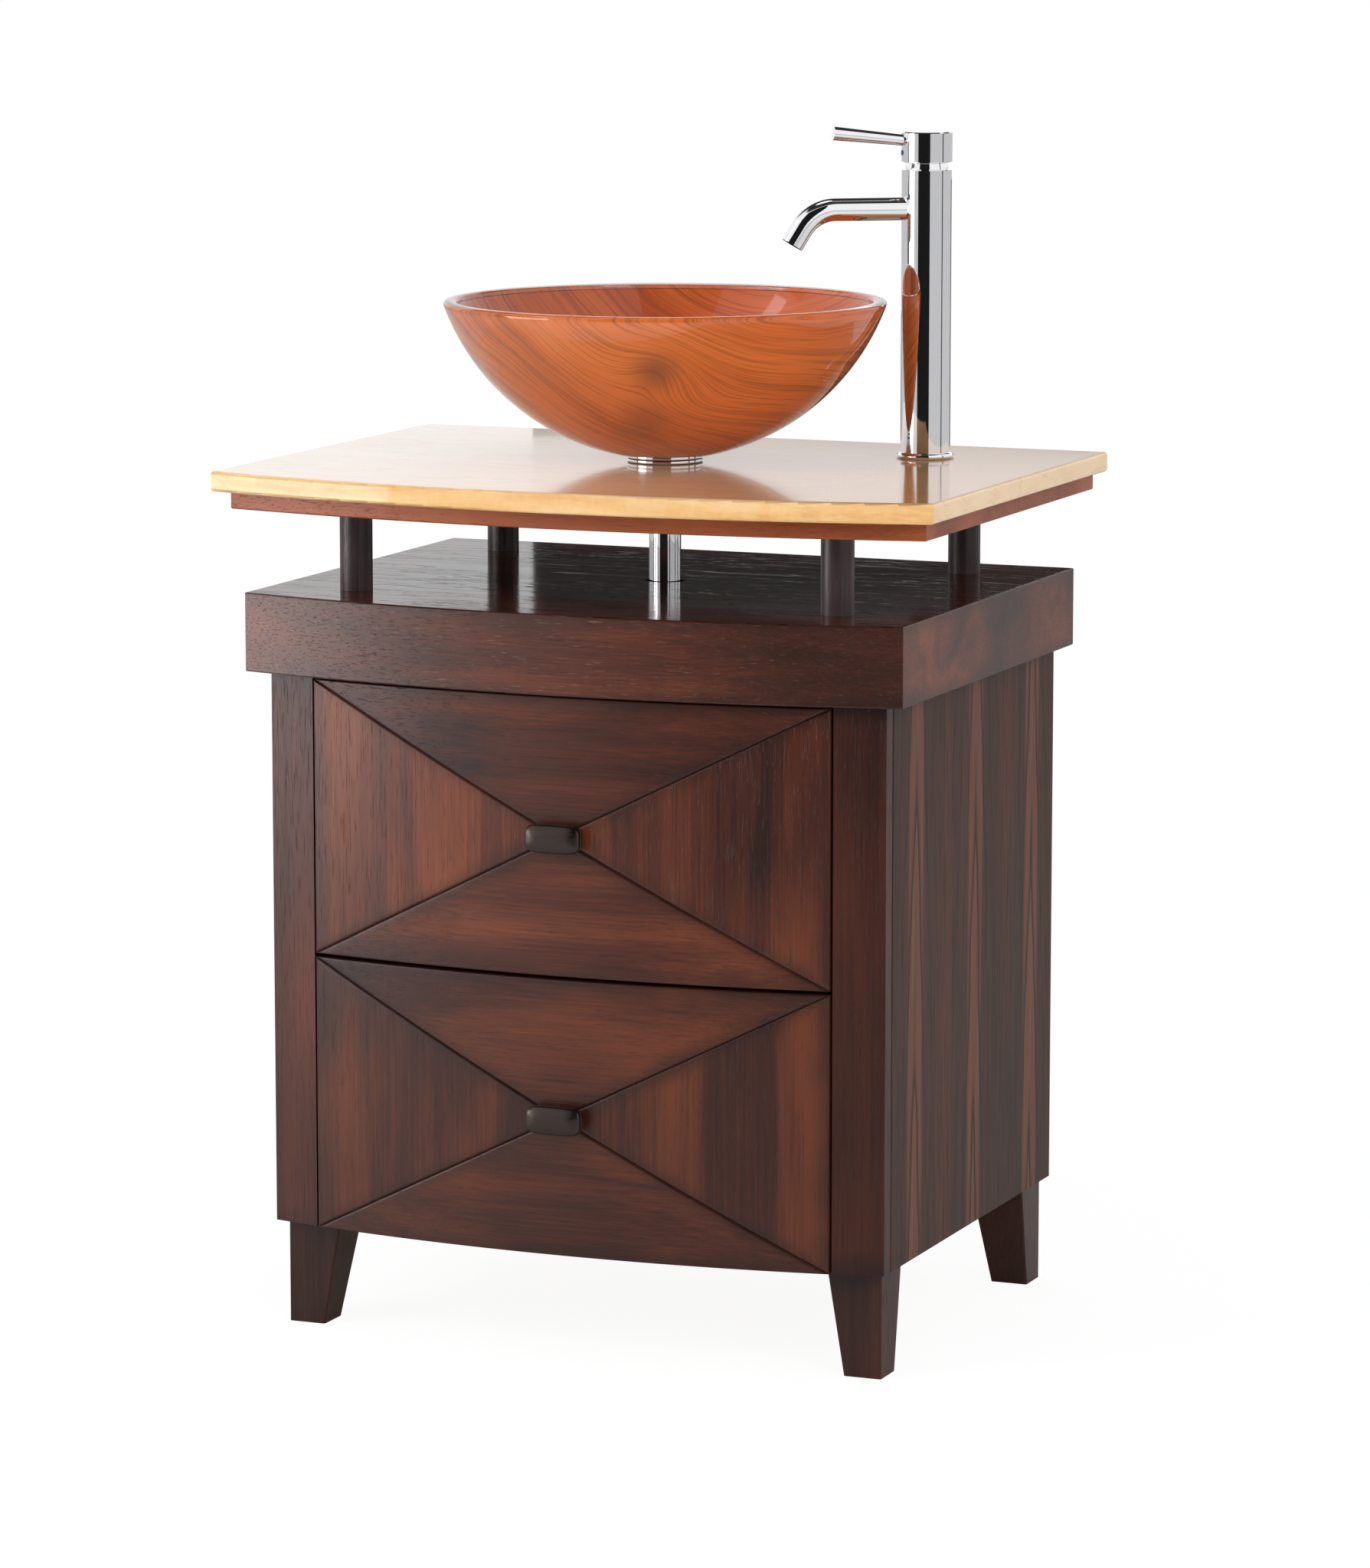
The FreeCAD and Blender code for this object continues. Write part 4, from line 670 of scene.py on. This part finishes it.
def mounting_ring():
    """Two polished tiers with soft edges, with a recessed line between them and one under them, dark as
    painted shade.
    """
    low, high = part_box("mounting_ring")
    outer = (high.x - low.x) / 2
    inner = 23.0 * MM
    line_high = 0.8 * MM
    line_deep = 2.0 * MM
    soft = 0.6 * MM
    tier = (high.z - low.z) / 2 - line_high
    quarter = [math.pi / 2 * i / 4 for i in range(5)]
    profile = [(inner, low.z)]
    dark = []
    for foot in (low.z, low.z + tier + line_high):
        dark += [len(profile), len(profile) + 1]
        profile += [(outer - line_deep, foot), (outer - line_deep, foot + line_high)]
        foot += line_high
        top = foot + tier
        profile += [(outer - soft + soft * math.sin(a), foot + soft - soft * math.cos(a)) for a in quarter]
        profile += [(outer - soft + soft * math.cos(a), top - soft + soft * math.sin(a)) for a in quarter]
    profile.append((inner, high.z))
    points, faces = lathe(profile, BOWL_X, BOWL_Y, 96)
    # The recessed lines' faces get a dark matte material: painted shade.
    picks = [1 if i % len(profile) in dark else 0 for i in range(len(faces))]
    groove_shade = moulded("ring_groove_shade", (0.012, 0.012, 0.013), 0.5)
    thing = piece("mounting_ring_fine", points, faces, [chrome, groove_shade], "cabinet", 60, picks)
    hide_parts("mounting_ring")


def foot_ring():
    """The tap's foot: an upright edge that rolls over to the column."""
    low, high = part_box("tap_foot_ring")
    x, y, outer = round_plan("tap_foot_ring")
    inner = 14.0 * MM
    roll = 3.0 * MM
    under = 0.7 * MM
    profile = [(inner, low.z), (outer - under, low.z), (outer, low.z + under)]
    for i in range(9):
        angle = math.pi / 2 * i / 8
        profile.append((outer - roll + roll * math.cos(angle), high.z - roll + roll * math.sin(angle)))
    profile.append((inner, high.z))
    thing = piece("tap_foot_ring_fine", *lathe(profile, x, y, 128), [chrome], "cabinet", 50)
    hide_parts("tap_foot_ring")


def index_dot():
    """The small cold-water dot on the cap, under the lever."""
    x, y, outer = round_plan("handle_cap")
    towards_bowl = math.radians(214.0)
    middle_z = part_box("handle_cap")[0].z + 9.3 * MM
    dot = 2.4 * MM
    sunk, proud = 0.3 * MM, 0.8 * MM
    count = 24
    points = []
    for radius in (outer - sunk, outer + proud):
        for i in range(count):
            angle = 2 * math.pi * i / count
            turn = towards_bowl + dot * math.cos(angle) / outer
            height = middle_z + dot * math.sin(angle)
            points.append((x + radius * math.cos(turn), y + radius * math.sin(turn), height))
    faces = [tuple(range(count)), tuple(range(count, 2 * count))] + sleeve(0, 2, count)
    piece("index_dot", points, faces, [moulded("index_blue", (0.02, 0.06, 0.35), 0.3)], "handle", 50)


# A drawer's front: how deep its surface lies, in mm, at a distance in mm from a groove or from its edge.
FRONT_BOW = 23.6 * MM
GROOVE = ((0.0, 1.5), (0.5, 0.95), (1.0, 0.40), (1.5, 0.12), (2.2, 0.0))
EDGE = ((0.0, 1.1), (0.25, 0.55), (0.6, 0.2), (1.1, 0.03), (1.8, 0.0))
EDGE_ROWS = [distance * MM for distance, _ in EDGE]
INNER_ROWS = 26
COLUMNS = 48
GROOVE_COLUMNS = 5
GROOVE_STEP = 0.5 * MM


def depth_at(distance, section):
    """Depth of a section, straight between its points, at a distance in metres."""
    for (d0, e0), (d1, e1) in zip(section, section[1:]):
        if distance <= d1 * MM:
            return (e0 + (e1 - e0) * (distance / MM - d0) / (d1 - d0)) * MM
    return 0.0


def column_steps(reach, slant):
    """Distances from the nearer end along a row of a triangle: close together near the grooves."""
    near = GROOVE_STEP / slant
    share = reach / (COLUMNS / 2)
    last_near = GROOVE_COLUMNS * min(near, share)
    steps = []
    for i in range(COLUMNS + 1):
        from_end = min(i, COLUMNS - i)
        if from_end <= GROOVE_COLUMNS:
            steps.append(from_end * min(near, share))
        else:
            rest = (from_end - GROOVE_COLUMNS) / (COLUMNS / 2 - GROOVE_COLUMNS)
            steps.append(last_near + (reach - last_near) * rest)
    return steps


def drawer_face(level, tones, seed):
    """The bowed front: four veneered fields with soft edges, parted by V grooves."""
    low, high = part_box(f"{level}_drawer_front")
    half = (high.x - low.x) / 2
    half_z = (high.z - low.z) / 2
    middle_z = (high.z + low.z) / 2
    bend = (half**2 + FRONT_BOW**2) / (2 * FRONT_BOW)
    corners = [(-half, half_z), (half, half_z), (half, -half_z), (-half, -half_z)]
    points = []
    faces = []
    for (x0, z0), (x1, z1) in zip(corners, corners[1:] + corners[:1]):
        edge = math.hypot(x1 - x0, z1 - z0)
        away = half_z if z0 == z1 else half
        spread = edge / 2 / away
        slant = math.cos(math.atan(spread))
        inner = away - EDGE_ROWS[-1]
        insets = EDGE_ROWS + [EDGE_ROWS[-1] + inner * i / INNER_ROWS for i in range(1, INNER_ROWS + 1)]
        start = len(points)
        width = COLUMNS + 1
        for inset in insets:
            reach = (away - inset) * spread
            out = 1 - inset / away
            for i, step in enumerate(column_steps(reach, slant)):
                along = (step - reach if i <= COLUMNS / 2 else reach - step) / edge
                x = (x0 + x1) / 2 * out + (x1 - x0) * along
                z = (z0 + z1) / 2 * out + (z1 - z0) * along
                face_y = low.y + bend - math.sqrt(bend**2 - x**2)
                sink = max(depth_at(step * slant, GROOVE), depth_at(inset, EDGE))
                points.append((x, face_y + sink, middle_z + z))
        for j in range(len(insets) - 1):
            for i in range(COLUMNS):
                a = start + j * width + i
                faces.append((a, a + width, a + width + 1, a + 1))
        back = len(points)
        points += [(x, high.y, z) for x, _, z in points[start : start + width]]
        faces += [(start + i, start + i + 1, back + i + 1, back + i) for i in range(COLUMNS)]
    rear = len(points)
    points += [(x, high.y, middle_z + z) for x, z in corners]
    faces.append((rear, rear + 1, rear + 2, rear + 3))
    veneer = drawer_wood(f"{level}_front_wood", (low, high), seed, tones)
    thing = piece(f"{level}_front_fine", points, faces, [veneer], f"{level}_drawer", 60)
    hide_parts(f"{level}_drawer_front")


def cushion(half_x, half_z, count, power=4.2):
    """A rectangle with bulging sides and round corners."""
    def squared(half, value):
        return half * math.copysign(abs(value) ** (2 / power), value)

    turns = [2 * math.pi * i / count for i in range(count)]
    return [(squared(half_x, math.cos(a)), squared(half_z, math.sin(a))) for a in turns]


# A drawer's knob, in mm: its pillow as (inset from the outline, height over its back), and its neck as
# (radius, distance from the drawer's front).
PILLOW_THICK = 11.0 * MM
PILLOW = (
    (4.0, 0.0), (1.2, 0.25), (0.35, 0.9), (0.0, 1.9), (0.0, 3.0), (0.35, 3.5), (1.0, 3.7), (1.1, 4.1),
    (0.7, 4.5), (0.35, 5.0), (0.3, 6.0), (0.6, 7.2), (1.4, 8.2), (3.0, 9.2), (5.2, 10.0), (8.0, 10.7),
    (11.5, 11.0),
)
NECK = ((9.0, 0.0), (8.6, 0.8), (6.8, 1.6), (6.0, 3.0), (6.0, 4.6), (7.2, 6.2), (8.0, 7.4))


def drawer_knob(level):
    """A pillow shaped pull: a back plate, a fine step, a domed face and a flared neck."""
    low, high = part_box(f"{level}_drawer_knob")
    half_x = (high.x - low.x) / 2
    half_z = (high.z - low.z) / 2
    middle_z = (high.z + low.z) / 2
    behind = low.y + PILLOW_THICK
    around = 72
    points = []
    for inset, depth in PILLOW:
        outline = cushion(half_x - inset * MM, half_z - inset * MM, around)
        points += [(x, behind - depth * MM, middle_z + z) for x, z in outline]
    front = len(points) - around
    faces = sleeve(0, len(PILLOW), around)
    faces.append(tuple(range(around)))
    faces.append(tuple(front + i for i in reversed(range(around))))
    start = len(points)
    turns = 48
    for radius, forward in NECK:
        for i in range(turns):
            angle = 2 * math.pi * i / turns
            x, z = radius * MM * math.cos(angle), radius * MM * math.sin(angle)
            points.append((x, high.y - forward * MM, middle_z + z))
    faces += sleeve(start, len(NECK), turns)
    thing = piece(f"{level}_knob_fine", points, faces, [pewter], f"{level}_drawer", 48)
    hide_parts(f"{level}_drawer_knob")


bowl_glass()
bowl_lining()
mounting_ring()
foot_ring()
index_dot()
# The lower drawer's veneer is the upper one's in darker tones, as painted shade.
for level, tones, seed in (("upper", ESPRESSO, 1.0), ("lower", SHADED_ESPRESSO, 21.0)):
    drawer_face(level, tones, seed)
    drawer_knob(level)


# ---------------------------------------------------------------- floor, light and camera
CAMERA_PLACE = (2.26915, -5.45284, 1.43385)
CAMERA_YAW = 22.325
CAMERA_PITCH = -8.945
CAMERA_LENS = 145.75
CAMERA_SENSOR = 36.0
FLOOR_HALF = 60.0
DIFFUSE_FILL = 0.62
BEHIND_WHITE = 1.03


def floor_white():
    """White sweep: what the camera sees of it is mostly its own white, so shadows stay faint."""
    g = Graph("floor_white")
    g.finish((0.90, 0.90, 0.90), 0.6, Specular_IOR_Level=0.1)
    seen = g.node("ShaderNodeLightPath").outputs["Is Camera Ray"]
    glow = g.node("ShaderNodeEmission", {"Strength": 1.07}).outputs[0]
    g.show(g.node("ShaderNodeMixShader", [g.times(seen, 0.86), g.shader.outputs[0], glow]))
    return g.material


def stage_piece(name, points, faces, material):
    """Something of the studio, which isn't part of the object."""
    mesh = bpy.data.meshes.new(name)
    mesh.from_pydata(points, [], faces)
    mesh.materials.append(material)
    thing = link(name, mesh)
    return thing


def floor():
    corners = [(-1, -1), (1, -1), (1, 1), (-1, 1)]
    points = [(FLOOR_HALF * x, FLOOR_HALF * y, 0) for x, y in corners]
    stage_piece("floor", points, [(0, 1, 2, 3)], floor_white())


def card(name, start, end, radius, low, high, grey, glow=0.0):
    """An upright curved card around the object, between two bearings in degrees (0 is the front).

    It is seen only in reflections, as the lit and unlit parts of a studio are.
    """
    steps = 24
    points = []
    for i in range(steps + 1):
        bearing = math.radians(start + (end - start) * i / steps)
        x, y = radius * math.sin(bearing), -radius * math.cos(bearing)
        points += [(x, y, low), (x, y, high)]
    faces = [(2 * i, 2 * i + 2, 2 * i + 3, 2 * i + 1) for i in range(steps)]
    cloth = Graph(name + "_cloth").finish(
        (grey, grey, grey), 0.9, Specular_IOR_Level=0.1, Emission_Color=(1, 1, 1), Emission_Strength=glow
    )
    thing = stage_piece(name, points, faces, cloth)
    thing.visible_camera = False
    thing.visible_diffuse = False
    thing.visible_transmission = False
    thing.visible_shadow = False


def studio_world():
    """White behind the camera's view, an even fill for diffuse light, and a studio for reflections.

    Reflections see a white sweep that ends at some height, a dark ceiling and one ceiling light.
    """
    world = bpy.data.worlds.new("studio")
    bpy.context.scene.world = world
    world.use_nodes = True
    g = Nodes(world.node_tree)
    direction = g.node("ShaderNodeTexCoord").outputs["Generated"]

    def towards(bearing, elevation=0.0):
        """Cosine of the angle to a direction in degrees; 0 is the front, positive to the right."""
        b, e = math.radians(bearing), math.radians(elevation)
        aim = (math.sin(b) * math.cos(e), -math.cos(b) * math.cos(e), math.sin(e))
        return g.vector_math("DOT_PRODUCT", direction, aim, "Value")

    ceiling_from = g.span(towards(CAMERA_YAW), -0.7, -0.2, 0.46, 0.85)
    over = g.minus(g.axes(direction)[2], ceiling_from)
    sweep = g.span(over, -0.02, 0.03, 1.0, 0.03)
    lamp = g.span(towards(CAMERA_YAW - 157.0, 74.0), 0.978, 0.986, 0.0, 1.3)
    rays = g.node("ShaderNodeLightPath").outputs
    unreflected = g.blend(rays["Is Diffuse Ray"], BEHIND_WHITE, DIFFUSE_FILL)
    strength = g.blend(rays["Is Glossy Ray"], unreflected, g.plus(sweep, lamp))
    background = g.node("ShaderNodeBackground", {"Color": (1, 1, 1), "Strength": strength})
    g.node("ShaderNodeOutputWorld", {"Surface": background.outputs[0]})


def aimed(place, aim):
    """Rotation that turns something at a place to look at another one."""
    return (Vector(aim) - Vector(place)).to_track_quat("-Z", "Y").to_euler()


def softbox(name, place, aim, size, power):
    """A square light that reflections don't show."""
    light = bpy.data.lights.new(name, "AREA")
    light.shape = "RECTANGLE"
    light.size = light.size_y = size
    light.energy = power
    thing = link(name, light)
    thing.location = place
    thing.rotation_euler = aimed(place, aim)
    thing.visible_glossy = False


def camera():
    data = bpy.data.cameras.new("camera")
    data.lens = CAMERA_LENS
    data.sensor_width = CAMERA_SENSOR
    data.clip_end = 300.0
    thing = link("camera", data)
    thing.location = CAMERA_PLACE
    thing.rotation_euler = (math.radians(90 + CAMERA_PITCH), 0, math.radians(CAMERA_YAW))
    bpy.context.scene.camera = thing


floor()
# Each card's bearings, radius, lower and upper edge, grey, and glow if it is lit.
card("studio_dark_front", -16.0, 41.0, 2.6, 0.0, 5.0, 0.012)
card("studio_dark_left", -74.0, -52.0, 2.4, 0.0, 2.4, 0.16)
card("studio_dark_right", 98.0, 103.0, 2.6, 0.0, 2.4, 0.03)
card("studio_dark_back", 166.0, 204.5, 2.6, 0.0, 0.92, 0.10)
card("studio_dark_behind", 160.0, 211.0, 0.9, 0.0, 0.872, 0.04)
card("studio_bright_left", -66.0, -38.0, 2.3, 0.14, 1.2, 0.8, 5.6)
card("studio_window", -64.0, -53.0, 2.6, 2.7, 3.6, 0.8, 5.0)
studio_world()
softbox("key", (-3.2, -3.6, 2.8), (0, 0, 0.6), 2.2, 96.0)
softbox("side_light", (2.6, -2.0, 2.1), (0, 0, 0.9), 1.0, 25.0)
camera()
bpy.context.scene.view_settings.view_transform = "Standard"
